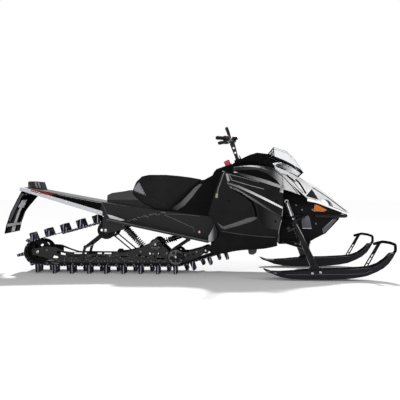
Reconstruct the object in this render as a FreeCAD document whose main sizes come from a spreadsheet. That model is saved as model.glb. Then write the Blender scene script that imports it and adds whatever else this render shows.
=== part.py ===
import FreeCAD, Part
import math
import os
import Sketcher

# Mountain snowmobile in millimetres.
# +X is forward, +Y is the rider's left and +Z is up.
# The origin is under the middle of the machine, on the snow.

Vector = FreeCAD.Vector
doc = FreeCAD.newDocument("Snowmobile")
sheet = doc.addObject("Spreadsheet::Sheet", "Sizes")

# Driving dimensions, each written once.
SIZES = {
    # Track and drive
    "track_width": 381,
    "belt_thickness": 8,
    "track_pitch": 76.2,
    "lug_height": 66,
    "lug_root_length": 30,
    "lug_tip_length": 23,
    "lug_rake": 4,
    "lug_sink": 3,
    "edge_lug_width": 87,
    "inner_lug_width": 72,
    "lug_edge_inset": 5,
    "lug_middle_inset": 12,
    "lug_phase": -17,
    "running_gap": 0.3,
    "rear_idler_radius": 101.6,
    "rear_idler_x": -1378,
    "rear_idler_height": 187,
    "upper_idler_radius": 79,
    "upper_idler_x": -767,
    "upper_idler_height": 380,
    "slide_rear_x": -1200,
    "slide_rear_bend": 150,
    "slide_front_x": -180,
    "slide_front_bend": 350,
    "driver_radius": 85,
    "driver_x": 256,
    "driver_height": 287,
    "driver_width": 46,
    "driver_spread": 90,
    "drive_shaft_radius": 15,
    # Skid frame under the rider
    "rail_spread": 133,
    "rail_thickness": 10,
    "rail_height": 185,
    "rail_rear_x": -1428,
    "rail_length": 1576,
    "slider_thickness": 18,
    "slider_width": 22,
    "slider_tail_x": -1190,
    "slider_ramp_length": 120,
    "axle_radius": 11,
    "axle_overhang": 14,
    "idler_width": 22,
    "hub_radius": 24,
    "hub_width": 30,
    "rim_depth": 17,
    "idler_clearance": 1.2,
    "web_thickness": 8,
    "rear_idler_spread": 82,
    "upper_idler_spread": 148,
    "bogie_spread": 156,
    "mid_idler_x": -338,
    "mid_idler_height": 256,
    "mid_idler_radius": 50,
    "front_idler_x": -160,
    "front_idler_radius": 72,
    "nose_roller_x": 100,
    "nose_roller_height": 206,
    "nose_roller_radius": 27,
    "arm_tube_radius": 13,
    "arm_sleeve_radius": 18,
    "rear_arm_foot_x": -955,
    "rear_arm_foot_height": 232,
    "rear_arm_spread": 108,
    "link_foot_x": -985,
    "link_foot_height": 124,
    "link_shaft_x": -520,
    "link_shaft_height": 176,
    "link_rod_radius": 6,
    "link_thickness": 8,
    "link_radius": 15,
    "front_arm_head_x": -45,
    "front_arm_head_height": 300,
    "front_arm_foot_x": -200,
    "front_arm_foot_height": 196,
    "front_arm_spread": 95,
    "shock_head_x": -630,
    "shock_head_height": 402,
    "shock_foot_x": -452,
    "shock_foot_height": 214,
    "bracket_thickness": 6,
    "cross_shaft_radius": 9,
    "shock_body_radius": 24,
    "shock_rod_radius": 7,
    "front_shock_head_x": -118,
    "front_shock_head_height": 322,
    # Tunnel, boards and rear end
    "toe_base": 300,
    "toe_height": 140,
    "toe_length": 75,
    "toe_width": 62,
    "tunnel_width": 406,
    "tunnel_wall": 4,
    "tunnel_rear_x": -1490,
    "tunnel_rear_top": 753,
    "tunnel_rear_low": 724,
    "tunnel_knee_x": -814,
    "tunnel_knee_top": 630,
    "tunnel_seat_x": -293,
    "tunnel_seat_top": 553,
    "tunnel_front_x": 430,
    "tunnel_front_top": 470,
    "bumper_front_x": -789,
    "bumper_front_low": 509,
    "bumper_bar_height": 38,
    "bumper_bar_width": 22,
    "bumper_tail": 22,
    "hitch_hole_radius": 5,
    "hitch_hole_spacing": 100,
    "board_rear_x": -742,
    "board_rear_height": 468,
    "board_front_x": 128,
    "board_front_height": 283,
    "board_width": 108,
    "board_thickness": 5,
    "board_lip": 24,
    "board_lip_width": 14,
    "board_slot_length": 52,
    "board_slot_width": 58,
    "flap_width": 400,
    "flap_thickness": 9,
    "flap_drop": 371,
    "flap_reach": 154,
    "tail_lamp_width": 150,
    "tail_lamp_length": 136,
    "tail_lamp_height": 62,
    "tail_lamp_front_x": -1348,
    "tail_lamp_base": 744,
    "tail_lens_length": 46,
    # Seat, trunk and console
    "seat_rear_x": -553,
    "seat_length": 613,
    "seat_base": 560,
    "seat_height": 303,
    "seat_width": 272,
    "trunk_rear_x": -769,
    "trunk_length": 389,
    "trunk_base": 560,
    "trunk_height": 168,
    "trunk_width": 226,
    "console_rear_x": -222,
    "console_length": 557,
    "console_base": 484,
    "console_height": 473,
    "console_width": 396,
    "cap_setback": 37,
    "cap_base": 936,
    "cap_rise": 52,
    "cap_lean": 24,
    "cap_radius": 26,
    "cap_collar_radius": 32,
    "cap_collar_height": 18,
    # Bodywork
    "body_rear_x": 130,
    "body_length": 1204,
    "body_half_width": 362,
    "body_height": 965,
    "body_wall": 9,
    "ridge_base": 856,
    "ridge_height": 200,
    "ridge_width": 236,
    "dash_notch": 96,
    "reflector_thickness": 6,
    "reflector_length": 117,
    "reflector_height": 62,
    "reflector_x": 1026,
    "reflector_base": 543,
    "screen_nose_gap": 2,
    "screen_length": 311,
    "screen_base": 883,
    "screen_height": 218,
    "screen_half_width": 165,
    "screen_thickness": 4,
    "bumper_tube_radius": 16,
    "bumper_bend": 26,
    "front_bumper_height": 508,
    "front_bumper_tip_x": 1320,
    "front_bumper_root_x": 1040,
    "engine_length": 300,
    "engine_width": 420,
    "engine_base": 290,
    "engine_height": 330,
    "outlet_x": 505,
    "outlet_length": 88,
    "outlet_base": 172,
    "outlet_height": 69,
    "outlet_width": 90,
    "outlet_y": -110,
    # Front suspension and steering
    "frame_width": 250,
    "frame_base": 262.5,
    "frame_height": 424.6,
    "frame_nose_gap": 63,
    "kingpin_foot_x": 1033,
    "kingpin_foot_y": 442,
    "kingpin_foot_height": 75,
    "kingpin_head_x": 845,
    "kingpin_head_y": 376,
    "kingpin_head_height": 469,
    "kingpin_low_joint": 190,
    "ball_radius": 15,
    "leg_offset": 16.5,
    "leg_thickness": 24,
    "arm_radius": 11,
    "arm_pivot_radius": 15.4,
    "joint_clearance": 1.8,
    "upper_arm_front_x": 935,
    "upper_arm_rear_x": 762,
    "upper_arm_height": 505,
    "lower_arm_front_x": 985,
    "lower_arm_rear_x": 775,
    "lower_arm_height": 282,
    "ski_shock_radius": 20,
    "ski_shock_head_x": 790,
    "ski_shock_head_y": 205,
    "ski_shock_head_height": 632,
    "steer_arm_height": 385,
    "steer_arm_length": 72,
    "tie_rod_radius": 8,
    "tie_rod_root_x": 800,
    "tie_rod_root_height": 425,
    "steer_arm_thickness": 10,
    "leg_depth": 48,
    "ski_bolt_radius": 8,
    "saddle_gap": 9,
    "saddle_ear": 8,
    "ski_stance": 940,
    "ski_tail_x": 584,
    "ski_length": 1057,
    "ski_rise": 227,
    "ski_width": 152,
    "ski_keel_width": 34,
    "ski_sole": 12,
    "ski_wall": 12,
    "runner_radius": 7,
    "runner_bend": 84,
    "loop_tube_radius": 9,
    "loop_bend": 16.2,
    "strut_radius": 5.4,
    "rung_radius": 4.5,
    "post_setback": 53,
    "post_foot_height": 950,
    "post_rake": 62,
    "post_head_height": 1142,
    "post_radius": 16,
    "bearing_radius": 30,
    "bearing_height": 44,
    "bearing_rise": 8,
    "riser_foot_depth": 26,
    "riser_head_depth": 44,
    "riser_width": 38,
    "riser_hole_radius": 9,
    "bar_rise": 14,
    "bar_lift": 16.5,
    "bar_bend": 44,
    "bar_flat_half": 48.4,
    "clamp_radius": 22,
    "clamp_half_width": 35.2,
    "control_length": 44,
    "control_radius": 22,
    "lever_radius": 5,
    "strap_radius": 8,
    "strap_half_width": 51.2,
    "strap_bend": 24,
    "strap_rake": 44,
    "strap_head_height": 1278,
    "bar_tube_radius": 11,
    "grip_radius": 16,
    "grip_length": 125,
    "grip_cap": 3,
    "bar_half_width": 360,
    "bar_sweep": 121,
    "bar_end_height": 1166,
}


class Size:
    """A length together with the cell formula that it comes from."""

    def __init__(self, value, formula):
        self.value = float(value)
        self.formula = formula

    def __add__(self, other):
        return joined(self, "+", other)

    def __sub__(self, other):
        return joined(self, "-", other)

    def __mul__(self, other):
        return joined(self, "*", other)

    def __truediv__(self, other):
        return joined(self, "/", other)

    def __neg__(self):
        return joined(Size(0, "0"), "-", self)

    def __float__(self):
        return self.value


def joined(left, sign, right):
    """The Size that a sum or product of two sizes gives."""
    if not isinstance(right, Size):
        right = Size(right, repr(float(right)))
    results = {
        "+": left.value + right.value,
        "-": left.value - right.value,
        "*": left.value * right.value,
        "/": left.value / right.value if right.value else 0,
    }
    return Size(results[sign], f"({left.formula} {sign} {right.formula})")


class Named:
    """The sheet's sizes by name."""


S = Named()
for row, (alias, number) in enumerate(SIZES.items(), start=1):
    sheet.set(f"A{row}", alias)
    sheet.set(f"B{row}", str(number))
    sheet.setAlias(f"B{row}", alias)
doc.recompute()
for alias in SIZES:
    setattr(S, alias, Size(sheet.get(alias), f"Sizes.{alias}"))
ZERO = Size(0, "0")
NODES = []


# Shared ways of making pieces


def mm(*lengths):
    """The plain values of some sizes."""
    return [float(length) for length in lengths]


def point(x, y, z):
    """A place in space from three sizes."""
    return Vector(*mm(x, y, z))


def finish(piece, name):
    """Gives a piece its node name and adds it to the ones written out."""
    piece.Label = name
    NODES.append(piece)
    return piece


def feature(name, shape):
    """A node whose shape is worked out from the sheet."""
    piece = doc.addObject("Part::Feature", name)
    piece.Shape = shape
    return finish(piece, name)


def bind(thing, prop, size):
    """Ties a property to the sheet."""
    thing.setExpression(prop, size.formula)


def origin_plane(body, role):
    """One of a body's own origin planes."""
    return [item for item in body.Origin.OriginFeatures if item.Role == role][0]


def sketch_on(body, role):
    """An empty sketch on one of a body's origin planes."""
    sketch = body.newObject("Sketcher::SketchObject", body.Name + "_sketch")
    sketch.AttachmentSupport = [(origin_plane(body, role), "")]
    sketch.MapMode = "FlatFace"
    return sketch


def draw_outline(sketch, corners):
    """A closed outline whose corners are held by the sheet's sizes."""
    first = sketch.GeometryCount
    count = len(corners)
    places = [Vector(float(u), float(v), 0) for u, v in corners]
    for index in range(count):
        sketch.addGeometry(Part.LineSegment(places[index], places[(index + 1) % count]))
    for index in range(count):
        following = first + (index + 1) % count
        sketch.addConstraint(Sketcher.Constraint("Coincident", first + index, 2, following, 1))
    for index, (u, v) in enumerate(corners):
        for kind, size in (("DistanceX", u), ("DistanceY", v)):
            rule = Sketcher.Constraint(kind, -1, 1, first + index, 1, float(size))
            number = sketch.addConstraint(rule)
            sketch.setExpression(f"Constraints[{number}]", size.formula)


def draw_circle(sketch, u, v, radius):
    """A circle held by the sheet's sizes."""
    centre = Vector(float(u), float(v), 0)
    index = sketch.addGeometry(Part.Circle(centre, Vector(0, 0, 1), float(radius)))
    rules = (
        (Sketcher.Constraint("Radius", index, float(radius)), radius),
        (Sketcher.Constraint("DistanceX", -1, 1, index, 3, float(u)), u),
        (Sketcher.Constraint("DistanceY", -1, 1, index, 3, float(v)), v),
    )
    for rule, size in rules:
        number = sketch.addConstraint(rule)
        sketch.setExpression(f"Constraints[{number}]", size.formula)


def padded(name, corners, width, holes=(), role="XZ_Plane"):
    """A body padded both ways from one of its origin planes."""
    body = doc.addObject("PartDesign::Body", name)
    sketch = sketch_on(body, role)
    draw_outline(sketch, corners)
    for u, v, radius in holes:
        draw_circle(sketch, u, v, radius)
    pad = body.newObject("PartDesign::Pad", name + "_pad")
    pad.Profile = sketch
    pad.Midplane = True
    bind(pad, "Length", width)
    return body


def revolved(name, half_section):
    """A body turned about its own X axis, from (along, radius) corners."""
    body = doc.addObject("PartDesign::Body", name)
    sketch = sketch_on(body, "XY_Plane")
    draw_outline(sketch, half_section)
    turn = body.newObject("PartDesign::Revolution", name + "_turn")
    turn.Profile = sketch
    turn.ReferenceAxis = (sketch, ["H_Axis"])
    turn.Angle = 360
    return body


def shift(piece, x=None, y=None, z=None):
    """Moves a piece to a place that stays tied to the sheet."""
    for axis, size in (("x", x), ("y", y), ("z", z)):
        if size is not None:
            bind(piece, f"Placement.Base.{axis}", size)
    return piece


def across(piece):
    """Turns a piece so that its X axis runs across the machine."""
    piece.Placement.Rotation = FreeCAD.Rotation(Vector(0, 0, 1), 90)
    return piece


def shaft(name, x, z, radius, length, y=ZERO):
    """A round bar across the machine, centred on y."""
    bar = doc.addObject("Part::Cylinder", name)
    bind(bar, "Radius", radius)
    bind(bar, "Height", length)
    bar.Placement.Rotation = FreeCAD.Rotation(Vector(1, 0, 0), 90)
    return shift(bar, x, y + length / 2, z)


def lengthwise(name, x, y, z, radius, length):
    """A round bar along the machine, starting at x."""
    bar = doc.addObject("Part::Cylinder", name)
    bind(bar, "Radius", radius)
    bind(bar, "Height", length)
    bar.Placement.Rotation = FreeCAD.Rotation(Vector(0, 1, 0), 90)
    return shift(bar, x, y, z)


def box(name, low, size):
    """A box from its low corner and its three sizes."""
    block = doc.addObject("Part::Box", name)
    for prop, length in zip(("Length", "Width", "Height"), size):
        bind(block, prop, length)
    return shift(block, *low)


def cut(name, base, tool):
    """The first piece less the second."""
    result = doc.addObject("Part::Cut", name)
    result.Base = base
    result.Tool = tool
    return result


def fused(name, pieces):
    """Several pieces joined into one."""
    result = doc.addObject("Part::MultiFuse", name)
    result.Shapes = pieces
    return result


def common(name, pieces):
    """What several pieces share."""
    result = doc.addObject("Part::MultiCommon", name)
    result.Shapes = pieces
    return result


def grouped(name, pieces):
    """Like pieces that share a node and don't touch."""
    result = doc.addObject("Part::Compound", name)
    result.Links = pieces
    return result


def mirrored(piece):
    """The same shape on the other side of the machine."""
    return piece.mirror(Vector(0, 0, 0), Vector(0, 1, 0))


def both_sides(shape):
    """A shape and its mirror image as one compound."""
    return Part.makeCompound([shape, mirrored(shape)])


def rod(start, end, radius):
    """A round bar between two places."""
    run = end - start
    return Part.makeCylinder(float(radius), run.Length, start, run)


def hollow_eye(shape, place, radius, length):
    """Bores a hole across the machine through a shape."""
    side = Vector(0, 1, 0)
    return shape.cut(Part.makeCylinder(radius, length, place - side * (length / 2), side))


def bend_path(places, radius):
    """Straight runs joined by tangent arcs, as one wire."""
    edges = []
    start = places[0]
    for before, corner, after in zip(places, places[1:], places[2:]):
        back = (before - corner).normalize()
        ahead = (after - corner).normalize()
        half = math.acos(max(-1, min(1, back.dot(ahead)))) / 2
        inset = float(radius) / math.tan(half)
        first = corner + back * inset
        last = corner + ahead * inset
        middle = (back + ahead).normalize()
        crown = corner + middle * (float(radius) / math.sin(half) - float(radius))
        edges.append(Part.LineSegment(start, first).toShape())
        edges.append(Part.Arc(first, crown, last).toShape())
        start = last
    edges.append(Part.LineSegment(start, places[-1]).toShape())
    return Part.Wire(edges)


def bent_tube(places, radius, bend):
    """A bar bent through some places."""
    path = bend_path(places, bend)
    run = places[1] - places[0]
    ring = Part.Wire(Part.makeCircle(float(radius), places[0], run))
    return path.makePipeShell([ring], True, False)


def outline_face(corners, y=0):
    """A flat face standing in the XZ plane at y."""
    places = [Vector(u, y, v) for u, v in corners]
    return Part.Face(Part.makePolygon(places + places[:1]))


def slab(corners, y_low, y_high):
    """An outline in the XZ plane given a thickness across the machine."""
    return outline_face(corners, y_low).extrude(Vector(0, y_high - y_low, 0))


def box_shape(low, high):
    """A plain box between two corners."""
    size = [b - a for a, b in zip(low, high)]
    return Part.makeBox(*size, Vector(*low))


def from_shares(shares, left, length, base, height):
    """Corners of an outline from shares of its own box."""
    return [(left + length * u, base + height * v) for u, v in shares]


def plain(corners):
    """Corners as plain values."""
    return [(float(u), float(v)) for u, v in corners]


# Track


class Belt:
    """The convex loop of a belt round pulleys, given anticlockwise as (x, z, radius)."""

    def __init__(self, pulleys):
        self.pulleys = pulleys
        self.runs = []
        count = len(pulleys)
        normals = [self.tangent_normal(pulleys[i], pulleys[(i + 1) % count]) for i in range(count)]
        for index, (x, z, radius) in enumerate(pulleys):
            after = pulleys[(index + 1) % count]
            turn_start = normals[index - 1]
            turn_end = normals[index]
            while turn_end < turn_start:
                turn_end += 2 * math.pi
            self.runs.append(("arc", x, z, radius, turn_start, turn_end))
            out = Vector(math.cos(turn_end), 0, math.sin(turn_end))
            first = Vector(x, 0, z) + out * radius
            last = Vector(after[0], 0, after[1]) + out * after[2]
            self.runs.append(("line", first, last, out))

    @staticmethod
    def tangent_normal(first, second):
        """The angle of the outward normal of the straight run between two pulleys."""
        along = math.atan2(second[1] - first[1], second[0] - first[0])
        span = math.hypot(second[0] - first[0], second[1] - first[1])
        return along - math.acos((first[2] - second[2]) / span)

    def run_length(self, run):
        """The length of one arc or straight run."""
        if run[0] == "arc":
            return run[3] * (run[5] - run[4])
        return (run[2] - run[1]).Length

    def length(self):
        """The whole way round."""
        return sum(self.run_length(run) for run in self.runs)

    def at(self, distance):
        """The place and outward normal some way round from the first arc's start."""
        distance = distance % self.length()
        for run in self.runs:
            size = self.run_length(run)
            if distance <= size:
                break
            distance -= size
        if run[0] == "arc":
            angle = run[4] + distance / run[3]
            out = Vector(math.cos(angle), 0, math.sin(angle))
            return Vector(run[1], 0, run[2]) + out * run[3], out
        way = (run[2] - run[1]).normalize()
        return run[1] + way * distance, run[3]

    def wire(self):
        """The loop as a closed wire in the XZ plane."""
        edges = []
        for run in self.runs:
            if run[0] == "line":
                edges.append(Part.LineSegment(run[1], run[2]).toShape())
                continue
            kind, x, z, radius, low, high = run
            places = [
                Vector(x + radius * math.cos(angle), 0, z + radius * math.sin(angle))
                for angle in (low, (low + high) / 2, high)
            ]
            edges.append(Part.Arc(*places).toShape())
        return Part.Wire(edges)


SLIDE_PLANE = S.lug_height + S.belt_thickness


def belt_round(extra):
    """The belt's path at some distance outside the wheels that carry it."""
    gap = S.running_gap + extra
    pulleys = (
        (S.slide_rear_x, SLIDE_PLANE + S.slide_rear_bend, S.slide_rear_bend + extra),
        (S.slide_front_x, SLIDE_PLANE + S.slide_front_bend, S.slide_front_bend + extra),
        (S.driver_x, S.driver_height, S.driver_radius + gap),
        (S.upper_idler_x, S.upper_idler_height, S.upper_idler_radius + gap),
        (S.rear_idler_x, S.rear_idler_height, S.rear_idler_radius + gap),
    )
    return Belt([mm(*pulley) for pulley in pulleys])


def lug(place, out, y_low, y_high):
    """One paddle that stands out of the belt, tapered and raked a little."""
    along = Vector(-out.z, 0, out.x)
    sink, height = mm(S.lug_sink, S.lug_height)
    root, tip, rake = mm(S.lug_root_length / 2, S.lug_tip_length / 2, S.lug_rake)
    corners = (
        place - along * root - out * sink,
        place + along * root - out * sink,
        place + along * (tip + rake) + out * height,
        place - along * (tip - rake) + out * height,
    )
    face = Part.Face(Part.makePolygon([*corners, corners[0]]))
    face.translate(Vector(0, y_low, 0))
    return face.extrude(Vector(0, y_high - y_low, 0))


def make_track():
    """The rubber loop; its two halves carry paired paddles by turns."""
    half = float(S.track_width) / 2
    inner = Part.Face(belt_round(ZERO).wire())
    ring = Part.Face(belt_round(S.belt_thickness).wire()).cut(inner)
    ring.translate(Vector(0, -half, 0))
    belt = ring.extrude(Vector(0, 2 * half, 0))
    # Rows are spaced along the middle of the belt's thickness
    path = belt_round(S.belt_thickness / 2)
    rows = 2 * round(path.length() / float(S.track_pitch) / 2)
    step = path.length() / rows
    rise, phase, near = mm(S.belt_thickness / 2, S.lug_phase, S.lug_middle_inset)
    edge = half - float(S.lug_edge_inset)
    edge_inner = edge - float(S.edge_lug_width)
    far = near + float(S.inner_lug_width)
    lugs = []
    for row in range(rows):
        place, out = path.at(phase + row * step)
        place = place + out * rise
        for low, high in ((edge_inner, edge), (near, far)):
            if row % 2:
                lugs.append(lug(place, out, low, high))
            else:
                lugs.append(lug(place, out, -high, -low))
    return feature("track", belt.multiFuse(lugs))


make_track()

# Skid frame


def wheel(name, radius):
    """An idler wheel with rim, web and hub, its axle along Y."""
    half = S.idler_width / 2
    web = S.web_thickness / 2
    hub = S.hub_width / 2
    rim = radius - S.rim_depth
    section = [
        (-hub, ZERO),
        (hub, ZERO),
        (hub, S.hub_radius),
        (web, S.hub_radius),
        (web, rim),
        (half, rim),
        (half, radius),
        (-half, radius),
        (-half, rim),
        (-web, rim),
        (-web, S.hub_radius),
        (-hub, S.hub_radius),
    ]
    return across(revolved(name, section))


def roller(name, radius):
    """A small plain wheel with its axle along Y."""
    half = S.idler_width / 2
    section = [(-half, ZERO), (half, ZERO), (half, radius), (-half, radius)]
    return across(revolved(name, section))


WHEEL_WINDOWS = 6
WHEEL_WINDOW_SHARE = 0.3


def wheel_windows(name, x, z, radius):
    """Round windows through the webs of a pair of wheels."""
    rim = radius - S.rim_depth
    ring = (rim + S.hub_radius) / 2
    hole = (rim - S.hub_radius) * WHEEL_WINDOW_SHARE
    windows = []
    for index in range(WHEEL_WINDOWS):
        angle = 2 * math.pi * index / WHEEL_WINDOWS
        across_by = ring * round(math.cos(angle), 6)
        up_by = ring * round(math.sin(angle), 6)
        windows.append(shaft(
            f"{name}_window_{index}", x + across_by, z + up_by, hole, S.track_width))
    return grouped(name + "_windows", windows)


def wheel_set(name, x, z, radius, spread, axle_half, small=False):
    """A pair of wheels on one axle."""
    parts = [shaft(name + "_axle", x, z, S.axle_radius, axle_half * 2)]
    for side, y in (("right", -spread), ("left", spread)):
        make = roller if small else wheel
        parts.append(shift(make(f"{name}_{side}", radius), x, y, z))
    pair = fused(name, parts)
    if small:
        return pair
    return cut(name + "_opened", pair, wheel_windows(name, x, z, radius))


def make_wheels():
    """The wheels that the belt runs round inside the loop."""
    half_tunnel = S.tunnel_width / 2 - S.tunnel_wall
    rail_half = S.rail_spread + S.rail_thickness / 2 + S.axle_overhang
    rear = wheel_set(
        "rear_idlers", S.rear_idler_x, S.rear_idler_height,
        S.rear_idler_radius, S.rear_idler_spread, rail_half)
    upper = wheel_set(
        "upper_idlers", S.upper_idler_x, S.upper_idler_height,
        S.upper_idler_radius, S.upper_idler_spread,
        half_tunnel - S.bracket_thickness - S.running_gap * 2)
    bogie_half = S.bogie_spread + S.idler_width / 2 + S.axle_overhang / 2
    mid = wheel_set(
        "mid_idlers", S.mid_idler_x, S.mid_idler_height,
        S.mid_idler_radius, S.bogie_spread, bogie_half, small=True)
    low = wheel_set(
        "front_idlers", S.front_idler_x, SLIDE_PLANE + S.front_idler_radius + S.idler_clearance,
        S.front_idler_radius, S.bogie_spread, bogie_half)
    nose = wheel_set(
        "nose_rollers", S.nose_roller_x, S.nose_roller_height,
        S.nose_roller_radius, S.bogie_spread, bogie_half, small=True)
    finish(grouped("idler_wheels", [rear, upper, mid, low, nose]), "idler_wheels")


make_wheels()

RAIL_SHARES = (
    (0, 0.367), (0, 0.638), (0.081, 0.76), (0.126, 0.73), (0.178, 0.546), (0.225, 0.42),
    (0.447, 0.411), (0.458, 0.551), (0.48, 0.551), (0.487, 0.476), (0.525, 0.508),
    (0.576, 0.622), (0.631, 0.805), (0.659, 0.95), (0.69, 1), (0.719, 0.92), (0.766, 0.53),
    (0.868, 0.508), (0.931, 0.649), (0.976, 0.789), (1, 0.703),
)

# Windows of the rail's web in its own box, with round holes as (along, up, radius)
RAIL_WINDOW_SHARES = (
    ((0.135, 0.6), (0.176, 0.476), (0.213, 0.373), (0.183, 0.357), (0.135, 0.411)),
    ((0.117, 0.351), (0.145, 0.292), (0.145, 0.211), (0.117, 0.211)),
    ((0.195, 0.341), (0.268, 0.341), (0.268, 0.276), (0.195, 0.276)),
    ((0.333, 0.341), (0.358, 0.341), (0.358, 0.276), (0.333, 0.276)),
    ((0.372, 0.341), (0.414, 0.341), (0.414, 0.276), (0.372, 0.276)),
    ((0.496, 0.33), (0.534, 0.33), (0.534, 0.26), (0.496, 0.26)),
    ((0.698, 0.25), (0.742, 0.25), (0.742, 0.18), (0.698, 0.18)),
)
RAIL_HOLE_SHARES = (
    (0.601, 0.36, 0.065), (0.637, 0.3, 0.05), (0.661, 0.45, 0.05), (0.684, 0.32, 0.05),
    (0.71, 0.45, 0.05), (0.871, 0.36, 0.05), (0.9, 0.42, 0.05),
)
RAIL_SHAFTS = (
    (S.shock_foot_x, S.shock_foot_height),
    (S.link_shaft_x, S.link_shaft_height),
)


def slider_path(offset):
    """The underside of the slide rails, some way above the belt, as plain corners."""
    base = SLIDE_PLANE + offset
    bend = S.slide_front_bend - offset
    centre_x, centre_z = mm(S.slide_front_x, SLIDE_PLANE + S.slide_front_bend)
    ramp = belt_round(ZERO).runs[3][3]
    corners = [(float(S.slider_tail_x), float(base))]
    steps = 6
    end = math.atan2(ramp.z, ramp.x)
    start = -math.pi / 2
    for step in range(steps + 1):
        angle = start + (end - start) * step / steps
        radius = float(bend)
        corners.append((centre_x + radius * math.cos(angle), centre_z + radius * math.sin(angle)))
    last = corners[-1]
    length = float(S.slider_ramp_length)
    corners.append((last[0] - ramp.z * length, last[1] + ramp.x * length))
    return corners


def make_rails():
    """Two slide rails with their plastic sliders underneath."""
    upper = plain(from_shares(RAIL_SHARES, S.rail_rear_x, S.rail_length,
                              SLIDE_PLANE + S.slider_thickness, S.rail_height))
    foot = slider_path(S.slider_thickness + S.running_gap)
    tail_x, tail_z = mm(S.rear_idler_x + S.hub_radius * 2, S.rear_idler_height - S.hub_radius * 2)
    outline = [(tail_x, tail_z)] + upper + foot[::-1]
    half = float(S.rail_thickness) / 2
    spread = float(S.rail_spread)
    side = slab(outline, spread - half, spread + half)
    bores = (
        (S.rear_idler_x, S.rear_idler_height, S.axle_radius),
        (S.mid_idler_x, S.mid_idler_height, S.axle_radius),
        (S.front_idler_x, SLIDE_PLANE + S.front_idler_radius + S.idler_clearance, S.axle_radius),
        (S.nose_roller_x, S.nose_roller_height, S.axle_radius),
    )
    deep = 2 * half + float(S.axle_overhang)
    for x, z, radius in bores:
        start = point(x, S.rail_spread + S.rail_thickness, z)
        hole = Part.makeCylinder(float(radius + S.running_gap), deep, start, Vector(0, -1, 0))
        side = side.cut(hole)
    left, length, base, height = mm(
        S.rail_rear_x, S.rail_length, SLIDE_PLANE + S.slider_thickness, S.rail_height)
    for shares in RAIL_WINDOW_SHARES:
        window = from_shares(shares, left, length, base, height)
        side = side.cut(slab(window, spread - 2 * half, spread + 2 * half))
    for along, up, share in RAIL_HOLE_SHARES:
        place = Vector(left + length * along, spread, base + height * up)
        side = hollow_eye(side, place, height * share, 4 * half)
    tubes = [
        rod(point(x, -S.rail_spread, z), point(x, S.rail_spread, z), S.cross_shaft_radius)
        for x, z in RAIL_SHAFTS
    ]
    feature("slide_rails", side.multiFuse([mirrored(side), *tubes]))
    low = slider_path(S.running_gap)
    high = slider_path(S.slider_thickness)
    half = float(S.slider_width) / 2
    strip = slab(low + high[::-1], spread - half, spread + half)
    feature("sliders", both_sides(strip))


make_rails()


EYE_SHARE = 1.9
EYE_WIDTH_SHARE = 0.7
SHOCK_BODY_SHARE = 0.55
SHOCK_COLLAR_SHARES = (0.3, 0.36)
SHOCK_COLLAR_SIZE_SHARE = 1.15
FRONT_SHOCK_SHARE = 0.85
LINK_EYE_SHARE = 1.8
LINK_WAIST_SHARE = 0.8


def shock(head, foot, body_radius, rod_radius, bores):
    """A shock absorber with bored eyes, a body, a canister step and a rod."""
    run = foot - head
    way = Vector(run).normalize()
    top = head + way * bores[0]
    middle = head + run * SHOCK_BODY_SHARE
    body = rod(top, middle, body_radius)
    collar_start, collar_end = [head + run * share for share in SHOCK_COLLAR_SHARES]
    collar = rod(collar_start, collar_end, body_radius * SHOCK_COLLAR_SIZE_SHARE)
    thin = rod(middle - way, foot, rod_radius)
    side = Vector(0, 1, 0)
    eye_half = body_radius * EYE_WIDTH_SHARE
    eyes = [
        rod(place - side * eye_half, place + side * eye_half, bore * EYE_SHARE)
        for place, bore in zip((head, foot), bores)
    ]
    shape = body.multiFuse([collar, thin, *eyes])
    for place, bore in zip((head, foot), bores):
        shape = hollow_eye(shape, place, bore, body_radius * 4)
    return shape


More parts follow.
